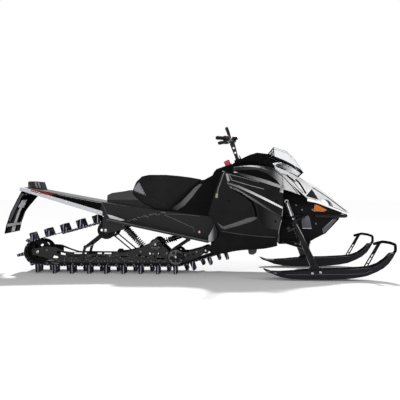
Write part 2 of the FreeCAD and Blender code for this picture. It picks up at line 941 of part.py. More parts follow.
def make_skid_arms():
    """The two arms that hold the skid under the tunnel, with links and shocks."""
    inner_half = S.tunnel_width / 2 - S.tunnel_wall
    gap = float(S.running_gap)
    # Rear arm, sleeved on the upper idlers' axle
    head = point(S.upper_idler_x, ZERO, S.upper_idler_height)
    foot = point(S.rear_arm_foot_x, ZERO, S.rear_arm_foot_height)
    sleeve_half = float(S.upper_idler_spread - S.hub_width / 2) - gap
    side = Vector(0, 1, 0)
    sleeve = Part.makeCylinder(
        float(S.arm_sleeve_radius), 2 * sleeve_half, head - side * sleeve_half, side)
    foot_half = float(S.rail_spread + S.rail_thickness * 2)
    cross = Part.makeCylinder(float(S.arm_tube_radius), 2 * foot_half, foot - side * foot_half, side)
    spread = float(S.rear_arm_spread)
    legs = [rod(head + side * y, foot + side * y, S.arm_tube_radius) for y in (-spread, spread)]
    stay_foot = point(S.link_shaft_x, ZERO, S.link_shaft_height)
    stays = []
    eye_radius = float(S.cross_shaft_radius) * LINK_EYE_SHARE
    for y in (-spread, spread):
        stays.append(rod(head + side * y, stay_foot + side * y, S.link_rod_radius))
        eye_start = stay_foot + side * (y - eye_radius)
        stays.append(Part.makeCylinder(eye_radius, 2 * eye_radius, eye_start, side))
    arm = sleeve.multiFuse([cross, *legs, *stays])
    arm = hollow_eye(arm, head, float(S.axle_radius) + gap, 4 * sleeve_half)
    arm = hollow_eye(arm, stay_foot, float(S.cross_shaft_radius) + gap, 4 * sleeve_half)
    rear_arm = arm
    # Links from the rear arm's foot down to the rails
    link_foot = point(S.link_foot_x, ZERO, S.link_foot_height)
    out = foot_half
    thick = float(S.link_thickness)
    links = []
    plate = rod(foot, foot + side * thick, S.link_radius)
    plate = plate.fuse(rod(link_foot, link_foot + side * thick, S.link_radius))
    way = Vector(link_foot - foot).normalize()
    wide = way.cross(side) * float(S.link_radius) * LINK_WAIST_SHARE
    bar = Part.Face(Part.makePolygon([
        foot + wide, link_foot + wide, link_foot - wide, foot - wide, foot + wide]))
    plate = plate.fuse(bar.extrude(side * thick))
    pin_end = float(S.rail_spread + S.rail_thickness / 2) + gap
    pin = rod(link_foot + side * (pin_end - out), link_foot + side * thick, S.axle_radius)
    plate = plate.fuse(pin)
    plate.translate(side * (out + gap))
    links = both_sides(plate)
    # Front arm
    head = point(S.front_arm_head_x, ZERO, S.front_arm_head_height)
    foot = point(S.front_arm_foot_x, ZERO, S.front_arm_foot_height)
    top_half = float(inner_half) - gap
    foot_half = float(S.rail_spread - S.rail_thickness / 2) - gap
    spread = float(S.front_arm_spread)
    top = Part.makeCylinder(float(S.arm_tube_radius), 2 * top_half, head - side * top_half, side)
    low = Part.makeCylinder(float(S.arm_tube_radius), 2 * foot_half, foot - side * foot_half, side)
    legs = [rod(head + side * y, foot + side * y, S.arm_tube_radius) for y in (-spread, spread)]
    pin = point(S.front_shock_head_x, ZERO, S.front_shock_head_height)
    cheek = float(S.shock_body_radius)
    pin_half = cheek + float(S.link_thickness)
    crank = [rod(pin - side * pin_half, pin + side * pin_half, S.cross_shaft_radius)]
    for y in (-pin_half, cheek):
        base = head + side * y
        end = pin + side * y
        lift = Vector(end - base).normalize().cross(side) * float(S.arm_tube_radius)
        cheek_face = Part.Face(Part.makePolygon([
            base + lift, end + lift, end - lift, base - lift, base + lift]))
        crank.append(cheek_face.extrude(side * float(S.link_thickness)))
        crank.append(rod(end, end + side * float(S.link_thickness), S.arm_tube_radius))
    front_arm = top.multiFuse([low, *legs, *crank])
    feature("skid_arms", Part.makeCompound([rear_arm, links, front_arm]))
    # Shocks
    bore = float(S.cross_shaft_radius) + gap
    rear_shock = shock(
        point(S.shock_head_x, ZERO, S.shock_head_height),
        point(S.shock_foot_x, ZERO, S.shock_foot_height),
        float(S.shock_body_radius), float(S.shock_rod_radius), (bore, bore))
    front_shock = shock(
        point(S.front_shock_head_x, ZERO, S.front_shock_head_height),
        point(S.mid_idler_x, ZERO, S.mid_idler_height),
        float(S.shock_body_radius) * FRONT_SHOCK_SHARE, float(S.shock_rod_radius),
        (bore, float(S.axle_radius) + gap))
    feature("skid_shocks", Part.makeCompound([rear_shock, front_shock]))


make_skid_arms()


def make_drive_axle():
    """The drive shaft with two drivers at the front of the loop."""
    half = S.tunnel_width / 2 - S.tunnel_wall - S.running_gap
    parts = [shaft("drive_shaft", S.driver_x, S.driver_height, S.drive_shaft_radius, half * 2)]
    for side, y in (("right", -S.driver_spread), ("left", S.driver_spread)):
        parts.append(shaft(
            f"driver_{side}", S.driver_x, S.driver_height, S.driver_radius, S.driver_width, y))
    finish(fused("drive_axle", parts), "drive_axle")


make_drive_axle()

# Tunnel, rear end and boards

TUNNEL_TOP = [
    (S.tunnel_rear_x, S.tunnel_rear_top),
    (S.tunnel_knee_x, S.tunnel_knee_top),
    (S.tunnel_seat_x, S.tunnel_seat_top),
    (S.tunnel_front_x, S.tunnel_front_top),
]
TUNNEL_LOW = [
    (S.tunnel_front_x, S.board_front_height),
    (S.board_front_x, S.board_front_height),
    (S.board_rear_x, S.board_rear_height),
    (S.bumper_front_x, S.bumper_front_low),
    (S.tunnel_rear_x, S.tunnel_rear_low),
]


def roof_at(x):
    """The height of the tunnel's roof at some place along it."""
    for (x0, z0), (x1, z1) in zip(TUNNEL_TOP, TUNNEL_TOP[1:]):
        if float(x) <= float(x1):
            break
    return z0 + (z1 - z0) * (x - x0) / (x1 - x0)


def on_roof(x):
    """A corner just above the tunnel's roof."""
    return x, roof_at(x) + S.running_gap


def make_tunnel():
    """The folded tunnel over the track, open below and at the rear."""
    outer = padded("tunnel_outside", TUNNEL_TOP + TUNNEL_LOW, S.tunnel_width)
    wall = S.tunnel_wall
    roof = [(x, z - wall) for x, z in TUNNEL_TOP]
    roof[0] = (S.tunnel_rear_x - wall, S.tunnel_rear_top - wall)
    roof[-1] = (S.tunnel_front_x - wall, S.tunnel_front_top - wall)
    floor = [(S.tunnel_front_x - wall, ZERO), (S.tunnel_rear_x - wall, ZERO)]
    inner = padded("tunnel_inside", roof + floor, S.tunnel_width - wall * 2)
    finish(cut("tunnel", outer, inner), "tunnel")


make_tunnel()


def make_rear_bumper():
    """The pale bar along each lower edge of the tunnel and across its tail."""
    bar = S.bumper_bar_height
    tail = S.tunnel_rear_x - S.bumper_tail
    outline = [
        (S.bumper_front_x, S.bumper_front_low),
        (S.bumper_front_x, S.bumper_front_low + bar),
        (S.tunnel_rear_x, S.tunnel_rear_top),
        (tail, S.tunnel_rear_top - S.tunnel_wall),
        (tail, S.tunnel_rear_low - S.tunnel_wall),
        (S.tunnel_rear_x, S.tunnel_rear_low - S.tunnel_wall),
    ]
    width = S.tunnel_width + S.bumper_bar_width * 2
    height = (S.tunnel_rear_top + S.tunnel_rear_low) / 2 - S.tunnel_wall
    spread = S.hitch_hole_spacing / 2
    outer = padded("bumper_outside", outline, width)
    inner = box("bumper_inside",
                (S.tunnel_rear_x, -S.tunnel_width / 2, ZERO),
                (S.seat_length * 2, S.tunnel_width, S.body_height))
    holes = [
        lengthwise(name, S.tunnel_rear_x - S.bumper_tail * 2, y, height,
                   S.hitch_hole_radius, S.bumper_tail * 3)
        for name, y in (("hitch_hole_right", -spread), ("hitch_hole_left", spread))
    ]
    finish(cut("rear_bumper", cut("bumper_loop", outer, inner), grouped("hitch_holes", holes)),
           "rear_bumper")


make_rear_bumper()

FLAP_SHARES = ((1, 1), (0.72, 0.79), (0.36, 0.5), (0.11, 0.2), (0, 0))


def make_flap():
    """The snow flap that hangs behind the track."""
    top = S.tunnel_rear_low - S.tunnel_wall - S.running_gap
    left = S.tunnel_rear_x - S.bumper_tail - S.flap_reach + S.flap_thickness
    back = from_shares(FLAP_SHARES, left, S.flap_reach, top - S.flap_drop, S.flap_drop)
    front = [(x + S.flap_thickness, z) for x, z in back[::-1]]
    finish(padded("snow_flap", back + front, S.flap_width), "snow_flap")


make_flap()


LAMP_BEVEL_SHARE = 0.2


def make_tail_lamp():
    """The tail lamp: a dark lens behind a grey housing on the tunnel's tail."""
    front = S.tail_lamp_front_x
    joint = front - S.tail_lamp_length + S.tail_lens_length
    rear = front - S.tail_lamp_length
    top = S.tail_lamp_base + S.tail_lamp_height
    slope = S.tail_lamp_height * LAMP_BEVEL_SHARE
    housing = [
        on_roof(front),
        (front - slope * 2, top - slope / 2),
        (joint, top),
        on_roof(joint),
    ]
    lens = [
        (joint, top),
        (rear + slope, top),
        (rear, top - slope),
        on_roof(joint - slope),
        on_roof(joint),
    ]
    finish(padded("tail_lamp_housing", housing, S.tail_lamp_width), "tail_lamp_housing")
    finish(padded("tail_lamp_lens", lens, S.tail_lamp_width), "tail_lamp_lens")


make_tail_lamp()


BOARD_SLOTS = 9


def make_boards():
    """Running boards with a rolled outer lip and a row of snow slots, one each side."""
    inner = float(S.tunnel_width) / 2
    outer = inner + float(S.board_width)
    rear_x, rear_z, front_x, front_z = mm(
        S.board_rear_x, S.board_rear_height, S.board_front_x, S.board_front_height)
    thick, lip, lip_width = mm(S.board_thickness, S.board_lip, S.board_lip_width)
    plate = slab([
        (rear_x, rear_z), (front_x, front_z), (front_x, front_z + thick),
        (rear_x, rear_z + thick)], inner, outer)
    edge = slab([
        (rear_x, rear_z), (front_x, front_z), (front_x, front_z + lip),
        (rear_x, rear_z + lip)], outer - lip_width, outer)
    slot, slot_width = mm(S.board_slot_length / 2, S.board_slot_width / 2)
    middle = (inner + outer - lip_width) / 2
    spacing = (front_x - rear_x) / BOARD_SLOTS
    for index in range(BOARD_SLOTS):
        x = rear_x + spacing * index + spacing / 2
        plate = plate.cut(box_shape(
            (x - slot, middle - slot_width, 0), (x + slot, middle + slot_width, rear_z + lip)))
    feature("running_boards", both_sides(plate.fuse(edge)))


make_boards()

# Seat, trunk and console

SEAT_TOP_SHARES = (
    (0.075, 0.825), (0.14, 0.97), (0.199, 1), (0.315, 1), (0.462, 0.983),
    (0.679, 0.944), (0.824, 0.908), (0.969, 0.855),
)
SEAT_FRONT_SHARES = ((1, 0.848), (0.804, 0.479), (0.54, 0.02))
SEAT_TAIL_SHARES = ((0.32, 0.04), (0.271, 0.083), (0.157, 0.182), (0, 0.479))
TRUNK_SHARES = ((0.003, 0.744), (0.105, 0.855), (0.406, 0.953), (0.499, 1))
CONSOLE_SHARES = (
    (0.553, 0.708), (0.68, 0.789), (0.704, 0.854), (0.743, 0.905), (0.871, 0.958), (1, 1),
)
# How wide the top is and how high the upright part of each side is
SEAT_CROWN_SHARES = (0.72, 0.8)
TRUNK_CROWN_SHARES = (0.8, 0.5)
CONSOLE_CROWN_SHARES = (0.55, 0.3)


def moved(corners, x, z):
    """Corners moved along and up."""
    return [(u + x, v + z) for u, v in corners]


def seat_line(shares):
    """Corners on the seat's side outline."""
    return from_shares(shares, S.seat_rear_x, S.seat_length, S.seat_base, S.seat_height)


def barrel(name, outline, width, base, height, crown_shares):
    """A side outline narrowed towards its top by a front outline."""
    side = padded(name + "_side", outline, width)
    half = width / 2
    top = base + height
    edge_share, waist_share = crown_shares
    front = [
        (-half, base - height),
        (half, base - height),
        (half, base + height * waist_share),
        (half * edge_share, top),
        (-half * edge_share, top),
        (-half, base + height * waist_share),
    ]
    along = S.body_length * 2
    cross = padded(name + "_front", front, along, role="YZ_Plane")
    return common(name, [side, cross])


def make_seat():
    """The padded seat with a raised tail and a sloping front."""
    front = seat_line(SEAT_FRONT_SHARES)
    tail = seat_line(SEAT_TAIL_SHARES)
    feet = [on_roof(front[-1][0]), on_roof(S.tunnel_seat_x), on_roof(tail[0][0])]
    outline = seat_line(SEAT_TOP_SHARES) + front[:-1] + feet + tail[1:]
    finish(barrel("seat", outline, S.seat_width, S.seat_base, S.seat_height, SEAT_CROWN_SHARES),
           "seat")


def make_trunk():
    """The low glossy pod behind the seat."""
    top = from_shares(TRUNK_SHARES, S.trunk_rear_x, S.trunk_length, S.trunk_base, S.trunk_height)
    tail = moved(seat_line(SEAT_TAIL_SHARES), -S.running_gap, -S.running_gap)
    outline = top + tail[:0:-1] + [on_roof(tail[0][0]), on_roof(S.trunk_rear_x)]
    pod = barrel(
        "seat_trunk", outline, S.trunk_width, S.trunk_base, S.trunk_height, TRUNK_CROWN_SHARES)
    finish(pod, "seat_trunk")


def make_console():
    """The tank cover between the rider's knees, up to the handlebar."""
    top = from_shares(
        CONSOLE_SHARES, S.console_rear_x, S.console_length, S.console_base, S.console_height)
    rear = moved(seat_line(SEAT_FRONT_SHARES), S.running_gap, -S.running_gap)
    front = S.console_rear_x + S.console_length
    outline = [on_roof(rear[-1][0])] + rear[1::-1] + top + [on_roof(front)]
    cover = barrel(
        "console", outline, S.console_width, S.console_base, S.console_height,
        CONSOLE_CROWN_SHARES)
    return finish(cover, "console")


make_seat()
make_trunk()
console = make_console()

# The dash begins where the console ends
DASH_X = S.console_rear_x + S.console_length
POST_FOOT_X = DASH_X + S.post_setback
POST_HEAD_X = POST_FOOT_X - S.post_rake

# The raised pod ends with the hood, and the screen stands on its front
RIDGE_FRONT_SHARE = 0.6836
RIDGE_LENGTH = S.body_rear_x + S.body_length * RIDGE_FRONT_SHARE - DASH_X
SCREEN_X = DASH_X + RIDGE_LENGTH - S.screen_nose_gap - S.screen_length

# Bodywork, split from one hollow skin

BODY_STATION_SHARES = (
    (0, ((0, 0.86), (0.331, 0.852), (0.641, 0.891), (0.823, 0.912), (0.912, 0.58),
         (0.928, 0.406), (0.691, 0.22), (0, 0.215))),
    (0.116, ((0, 0.964), (0.359, 0.96), (0.68, 0.938), (0.856, 0.912), (0.967, 0.58),
             (0.967, 0.391), (0.707, 0.201), (0, 0.197))),
    (0.254, ((0, 1), (0.345, 0.993), (0.691, 0.964), (0.898, 0.866), (1, 0.58),
             (0.986, 0.371), (0.724, 0.23), (0, 0.226))),
    (0.39, ((0, 1), (0.318, 0.99), (0.652, 0.938), (0.873, 0.815), (0.994, 0.565),
            (0.964, 0.353), (0.718, 0.242), (0, 0.238))),
    (0.515, ((0, 0.959), (0.29, 0.945), (0.566, 0.876), (0.807, 0.764), (0.953, 0.528),
             (0.912, 0.343), (0.68, 0.278), (0, 0.272))),
    (0.64, ((0, 0.881), (0.262, 0.866), (0.497, 0.793), (0.671, 0.701), (0.724, 0.518),
            (0.663, 0.363), (0.525, 0.311), (0, 0.307))),
    (0.764, ((0, 0.794), (0.235, 0.779), (0.414, 0.725), (0.53, 0.665), (0.541, 0.518),
             (0.497, 0.415), (0.414, 0.363), (0, 0.358))),
    (0.889, ((0, 0.681), (0.207, 0.667), (0.326, 0.634), (0.387, 0.599), (0.387, 0.539),
             (0.359, 0.487), (0.304, 0.456), (0, 0.452))),
    (1, ((0, 0.572), (0.124, 0.569), (0.171, 0.563), (0.193, 0.556), (0.193, 0.549),
         (0.182, 0.543), (0.16, 0.539), (0, 0.538))),
)
# Panel lines of the skin, as shares of its length and height
SIDE_PANEL_SHARES = (
    (0.097, 0.93), (0.043, 0.73), (0.012, 0.6), (0, 0.545), (0.032, 0.5), (0.068, 0.43),
    (0.082, 0.394), (0.116, 0.391), (0.254, 0.371),
    (0.39, 0.353), (0.478, 0.345), (0.478, 0.325), (0.509, 0.5), (0.519, 0.611), (0.521, 0.762),
    (0.39, 0.813), (0.254, 0.864), (0.142, 0.908),
)
BELLY_SHARES = (
    (-0.1, 0.27), (0.017, 0.275), (0.032, 0.292), (0.068, 0.345), (0.082, 0.394),
    (0.116, 0.391), (0.254, 0.371), (0.39, 0.353), (0.478, 0.345), (0.478, 0.325),
    (0.494, 0.1), (-0.1, 0.1),
)
HOOD_SHARES = (
    (0, 1.1), (0, 0.978), (0.097, 0.93), (0.142, 0.908), (0.254, 0.864), (0.39, 0.813),
    (0.521, 0.762), (0.583, 0.74),
    (0.686, 0.692), (0.575, 0.82), (0.475, 0.93), (0.44, 1.1),
)
COWL_SHARES = (
    (0.44, 1.1), (0.475, 0.93), (0.575, 0.82), (0.686, 0.692), (0.778, 0.663), (0.955, 0.571),
    (1.05, 0.52), (1.05, 1.1),
)
LAMP_SHARES = ((0.733, 0.767), (0.683, 0.703), (0.777, 0.67))
FRAME_SHARES = (
    (0, 1), (0.272, 0.918), (0.608, 0.836), (1, 0.646), (0.988, 0.607), (0.944, 0.495),
    (0.847, 0.363), (0.742, 0.221), (0.586, 0.121), (0.471, 0.037), (0.231, 0.005), (0, 0),
)


def ring_at(x, half_section, inset):
    """One closed section of the skin, moved inwards by the inset."""
    half_width, height = mm(S.body_half_width, S.body_height)
    half = [Vector(x, half_width * u, height * v) for u, v in half_section]
    middle = (half[0].z + half[-1].z) / 2
    ring = half + [Vector(place.x, -place.y, place.z) for place in half[-2:0:-1]]
    if inset:
        width = max(place.y for place in half)
        tall = half[0].z - half[-1].z
        pull_y = 1 - inset / width
        pull_z = 1 - 2 * inset / tall
        ring = [Vector(p.x, p.y * pull_y, middle + (p.z - middle) * pull_z) for p in ring]
    return Part.makePolygon(ring + ring[:1])


def skin(inset):
    """The solid inside the bodywork's outer face, or inside its inner one."""
    rings = []
    rear, length = mm(S.body_rear_x, S.body_length)
    last = len(BODY_STATION_SHARES) - 1
    for index, (share, half_section) in enumerate(BODY_STATION_SHARES):
        x = rear + length * share
        if inset and index == 0:
            x += inset
        if inset and index == last:
            continue
        rings.append(ring_at(x, half_section, inset))
    return Part.makeLoft(rings, True, False)


def body_outline(shares):
    """Corners of a panel line from shares of the body."""
    rear, length, height = mm(S.body_rear_x, S.body_length, S.body_height)
    return [(rear + length * u, height * v) for u, v in shares]


RIDGE_SHARES = (
    (0, 0.53), (0.083, 0.675), (0.168, 0.81), (0.239, 0.91), (0.34, 1), (0.497, 0.935),
    (0.595, 0.82), (0.723, 0.665), (0.809, 0.53), (0.95, 0.28), (1, 0.135), (0.914, -0.1),
    (0.672, 0), (0, 0),
)
RIDGE_CROWN_SHARES = (0.6, 0.35)
RIDGE_PLAN_SHARES = (
    (-0.05, -0.42), (0.3, -0.5), (0.55, -0.4), (0.8, -0.22), (1.02, -0.06), (1.02, 0.06),
    (0.8, 0.22), (0.55, 0.4), (0.3, 0.5), (-0.05, 0.42),
)


def ridge_shape():
    """The raised black pod along the middle of the hood."""
    outline = plain(from_shares(
        RIDGE_SHARES, DASH_X, RIDGE_LENGTH, S.ridge_base, S.ridge_height))
    half = float(S.ridge_width) / 2
    side = slab(outline, -half, half)
    rear, length, base, height = mm(
        DASH_X, RIDGE_LENGTH, S.ridge_base, S.ridge_height)
    plan = [Vector(rear + length * u, 2 * half * v, base - height) for u, v in RIDGE_PLAN_SHARES]
    column = Part.Face(Part.makePolygon(plan + plan[:1])).extrude(Vector(0, 0, 3 * height))
    edge_share, waist_share = RIDGE_CROWN_SHARES
    edge = half * edge_share
    waist = base + height * waist_share
    roof = [
        Vector(0, -half, base - height), Vector(0, half, base - height),
        Vector(0, half, waist), Vector(0, edge, base + height),
        Vector(0, -edge, base + height), Vector(0, -half, waist),
    ]
    tent = Part.Face(Part.makePolygon(roof + roof[:1])).extrude(Vector(rear + 2 * length, 0, 0))
    return side.common(column).common(tent)


def post_way():
    """The foot of the steering post's axis and its upward direction."""
    foot = point(POST_FOOT_X, ZERO, S.post_foot_height)
    head = point(POST_HEAD_X, ZERO, S.post_head_height)
    return foot, (head - foot).normalize()


def post_hole(radius):
    """A long bore round the steering post's axis."""
    foot, way = post_way()
    reach = float(S.body_height) / 4
    return Part.makeCylinder(float(radius), 2 * reach, foot - way * reach, way)


def make_bodywork():
    """Belly pan, side panels, hood, nose cowl and head lamps, all from one skin."""
    wall = float(S.body_wall)
    shell = skin(0).cut(skin(wall))
    wide = float(S.body_half_width) * 2
    tunnel_half = float(S.tunnel_width) / 2 + float(S.running_gap)
    front = float(S.tunnel_front_x + S.running_gap)
    channel = slab([
        (float(S.body_rear_x) - wall, 0), (front, 0),
        (front, float(S.body_height)), (float(S.body_rear_x) - wall, float(S.body_height))],
        -tunnel_half, tunnel_half)

    def channel_below(whole):
        """The tunnel's own space, without the part above its roof."""
        roof = plain([*TUNNEL_TOP[1:], TUNNEL_LOW[0]])
        below = slab([(roof[0][0], 0), *roof[:-1], (roof[-1][0], 0)], -wide, wide)
        return whole.common(below)

    def panel(shares):
        return shell.common(slab(body_outline(shares), -wide, wide))

    feature("belly_pan", panel(BELLY_SHARES).cut(channel))
    sides = panel(SIDE_PANEL_SHARES)
    doc.recompute()
    middle, far = mm(S.dash_notch / 2, S.body_length * 2)
    behind = box_shape(
        (float(S.body_rear_x), -middle, 0),
        (float(S.console_rear_x + S.console_length), middle, far))
    feature("side_panels", sides.cut(console.Shape).cut(behind).cut(channel_below(channel)))
    post = post_hole(S.bearing_radius + S.running_gap)
    behind = box_shape(
        (float(S.body_rear_x), -wide, 0),
        (float(S.console_rear_x + S.console_length + S.running_gap), wide, far))
    feature("hood", panel(HOOD_SHARES).cut(behind).cut(post))
    feature("dash_pod", ridge_shape().cut(skin(0)).cut(post))
    lamp = slab(body_outline(LAMP_SHARES), -wide, wide)
    cowl = panel(COWL_SHARES)
    feature("nose_cowl", cowl.cut(lamp))
    feature("head_lamps", cowl.common(lamp))


make_bodywork()


def make_front_frame():
    """The narrow front frame and lower nose, with the pins that the ski shocks hang from."""
    left = S.tunnel_front_x + S.engine_length + S.running_gap * 2
    length = S.body_rear_x + S.body_length - S.frame_nose_gap - left
    outline = from_shares(FRAME_SHARES, left, length, S.frame_base, S.frame_height)
    eye_half = S.ski_shock_radius * EYE_WIDTH_SHARE + S.running_gap
    x, z = S.ski_shock_head_x, S.ski_shock_head_height
    pieces = [
        padded("frame_middle", outline, S.frame_width),
        shaft("shock_pin", x, z, S.cross_shaft_radius,
              (S.ski_shock_head_y + eye_half) * 2),
        shaft("shock_boss", x, z, S.arm_pivot_radius, (S.ski_shock_head_y - eye_half) * 2),
    ]
    finish(fused("front_frame", pieces), "front_frame")


make_front_frame()


def make_engine():
    """The engine as one plain block between the tunnel and the front frame."""
    block = box("engine_block",
                (S.tunnel_front_x + S.running_gap, -S.engine_width / 2, S.engine_base),
                (S.engine_length, S.engine_width, S.engine_height))
    finish(block, "engine_block")


make_engine()

# Front suspension and skis


def kingpin_frame(side):
    """The steering axis of one ski: its foot and its forward, outward and upward ways."""
    foot = Vector(*mm(S.kingpin_foot_x, S.kingpin_foot_y * side, S.kingpin_foot_height))
    head = Vector(*mm(S.kingpin_head_x, S.kingpin_head_y * side, S.kingpin_head_height))
    up = (head - foot).normalize()
    ahead = Vector(1, 0, 0)
    ahead = (ahead - up * up.dot(ahead)).normalize()
    outward = up.cross(ahead) * side
    return foot, ahead, outward, up


def kingpin_place(ahead_by, outward_by, up_by, side=1):
    """A place given along the steering axis's own directions."""
    foot, ahead, outward, up = kingpin_frame(side)
    return foot + ahead * ahead_by + outward * outward_by + up * up_by


def kingpin_slab(corners, low, high):
    """An outline in the kingpin's side plane, given a thickness outwards."""
    places = [kingpin_place(u, low, v) for u, v in corners]
    face = Part.Face(Part.makePolygon(places + places[:1]))
    return face.extrude(kingpin_frame(1)[2] * (high - low))


def joint_places():
    """The lower and upper ball joints of the left ski's leg."""
    low = kingpin_place(0, 0, float(S.kingpin_low_joint))
    high = point(S.kingpin_head_x, S.kingpin_head_y, S.kingpin_head_height)
    return low, high


def a_arm(joint, front_x, rear_x, height):
    """Two tubes from an inner pivot bar to a ball at the leg, on the left."""
    y = S.frame_width / 2 + S.arm_pivot_radius + S.running_gap
    front = point(front_x, y, height)
    rear = point(rear_x, y, height)
    sleeve = float(S.arm_pivot_radius)
    overrun = Vector(sleeve, 0, 0)
    pieces = [
        rod(rear - overrun, front + overrun, sleeve),
        rod(front, joint, S.arm_radius),
        rod(rear, joint, S.arm_radius),
    ]
    return Part.makeSphere(float(S.ball_radius), joint).multiFuse(pieces)


SKI_SHOCK_SEAT_SHARE = 0.76
EAR_SHARE = 0.8
LEG_SHARES = (
    (0.25, -0.05), (0.25, 0.03), (0.18, 0.27), (0.18, 0.7), (0.25, 0.95), (0.2, 1.04),
    (-0.25, 1.04), (-0.4, 0.95), (-0.6, 0.75), (-0.8, 0.45), (-0.95, 0.2), (-1.1, 0.05),
    (-1, -0.05),
)


def make_front_suspension():
    """A-arms, ski shocks and tie rods on the chassis, both sides alike."""
    low, high = joint_places()
    gap = float(S.running_gap)
    upper = a_arm(high, S.upper_arm_front_x, S.upper_arm_rear_x, S.upper_arm_height)
    lower = a_arm(low, S.lower_arm_front_x, S.lower_arm_rear_x, S.lower_arm_height)
    inner = point(S.lower_arm_rear_x, S.frame_width / 2, S.lower_arm_height)
    seat = inner + (low - inner) * SKI_SHOCK_SEAT_SHARE
    bore = float(S.cross_shaft_radius) + gap
    eye = bore * EYE_SHARE
    foot = seat + Vector(0, 0, float(S.arm_radius + S.joint_clearance) + eye)
    side = Vector(0, 1, 0)
    head = point(S.ski_shock_head_x, S.ski_shock_head_y, S.ski_shock_head_height)
    body = float(S.ski_shock_radius)
    lug_y = float(S.link_thickness)
    inner_y = body * EYE_WIDTH_SHARE + gap
    outer_y = inner_y + lug_y
    ear_radius = eye * EAR_SHARE
    ears = [rod(foot - side * outer_y, foot + side * outer_y, S.cross_shaft_radius)]
    for y in (-outer_y, inner_y):
        ear = rod(foot + side * y, foot + side * (y + lug_y), ear_radius)
        leg = box_shape(
            (foot.x - ear_radius, foot.y + y, seat.z - float(S.arm_radius) / 2),
            (foot.x + ear_radius, foot.y + y + lug_y, foot.z))
        ears += [ear, leg]
    lower = lower.multiFuse(ears)
    feature("a_arms", Part.makeCompound([both_sides(upper), both_sides(lower)]))
    damper = shock(head, foot, body, float(S.shock_rod_radius), (bore, bore))
    feature("ski_shocks", both_sides(damper))
    end = kingpin_place(
        -float(S.steer_arm_length), float(S.leg_offset),
        float(S.steer_arm_height + S.steer_arm_thickness + S.ball_radius + S.joint_clearance))
    root = point(S.tie_rod_root_x, S.frame_width / 2 + S.running_gap, S.tie_rod_root_height)
    tie = rod(root, end, S.tie_rod_radius).fuse(Part.makeSphere(float(S.ball_radius), end))
    keep = box_shape(
        (0, float(root.y), 0), (2 * end.x, 2 * end.y, 2 * end.z))
    feature("tie_rods", both_sides(tie.common(keep)))


def leg_shape():
    """The left ski's leg with its bosses, steering arm and ski bolt bore."""
    foot, ahead, outward, up = kingpin_frame(1)
    low, high = joint_places()
    length = (high - foot).Length
    depth = float(S.leg_depth)
    corners = [(depth * u, length * v) for u, v in LEG_SHARES]
    start = float(S.leg_offset)
    end = start + float(S.leg_thickness)
    leg = kingpin_slab(corners, start, end)
    ball = float(S.ball_radius) + float(S.running_gap)
    bosses = [
        rod(place + outward * ball, place + outward * end, S.arm_radius) for place in (low, high)
    ]
    height, arm, thick = mm(S.steer_arm_height, S.steer_arm_length, S.steer_arm_thickness)
    tip = float(S.ball_radius)
    plate = [
        kingpin_place(-arm - tip, start - tip, height),
        kingpin_place(0, start, height),
        kingpin_place(0, end, height),
        kingpin_place(-arm - tip, start + tip, height),
    ]
    steer = Part.Face(Part.makePolygon(plate + plate[:1])).extrude(up * thick)
    leg = leg.multiFuse([*bosses, steer])
    bolt = float(S.ski_bolt_radius + S.running_gap)
    return hollow_eye(leg, ski_bolt_place(), bolt, float(S.ski_width) * 2)


def ski_bolt_place():
    """The middle of the bolt that the left ski rocks on."""
    return point(S.kingpin_foot_x, S.ski_stance / 2, S.kingpin_foot_height)


SKI_LOW_SHARES = (
    (0, 0.4), (0.02, 0.31), (0.067, 0.24), (0.13, 0.13), (0.205, 0.07), (0.28, 0.05),
    (0.51, 0.05), (0.625, 0.08), (0.7, 0.12), (0.778, 0.19), (0.853, 0.33), (0.906, 0.463),
    (0.951, 0.643), (0.981, 0.837), (1, 1),
)
SKI_TOP_SHARES = (
    (0.966, 0.98), (0.928, 0.784), (0.876, 0.6), (0.816, 0.49), (0.747, 0.455), (0.587, 0.41),
    (0.473, 0.4), (0.32, 0.36), (0.243, 0.32), (0.13, 0.29), (0.06, 0.3),
)
SKI_PLAN_SHARES = (
    (-0.01, -0.3), (0.05, -0.4), (0.25, -0.5), (0.8, -0.5), (0.93, -0.4), (1.02, -0.24),
    (1.02, 0.24), (0.93, 0.4), (0.8, 0.5), (0.25, 0.5), (0.05, 0.4), (-0.01, 0.3),
)
LOOP_SHARES = (
    (0.968, 0.82), (1.008, 1.06), (1.006, 1.28), (0.962, 1.35), (0.909, 1.385), (0.866, 1.335),
    (0.838, 1.295),
)
STRUT_SHARES = (((0.762, 0.42), (0.874, 1.32)), ((0.786, 0.42), (0.896, 1.36)))
RUNG_SHARES = (0.2, 0.45, 0.7)
RUNNER_SHARES = ((0.235, 1.6), (0.3, 1), (0.5, 1), (0.6, 1.9))
SADDLE_FOOT_SHARES = (-2.2, 1.4)
SADDLE_TOP_SHARES = ((0.5, 0.5), (-1.5, 0.5))


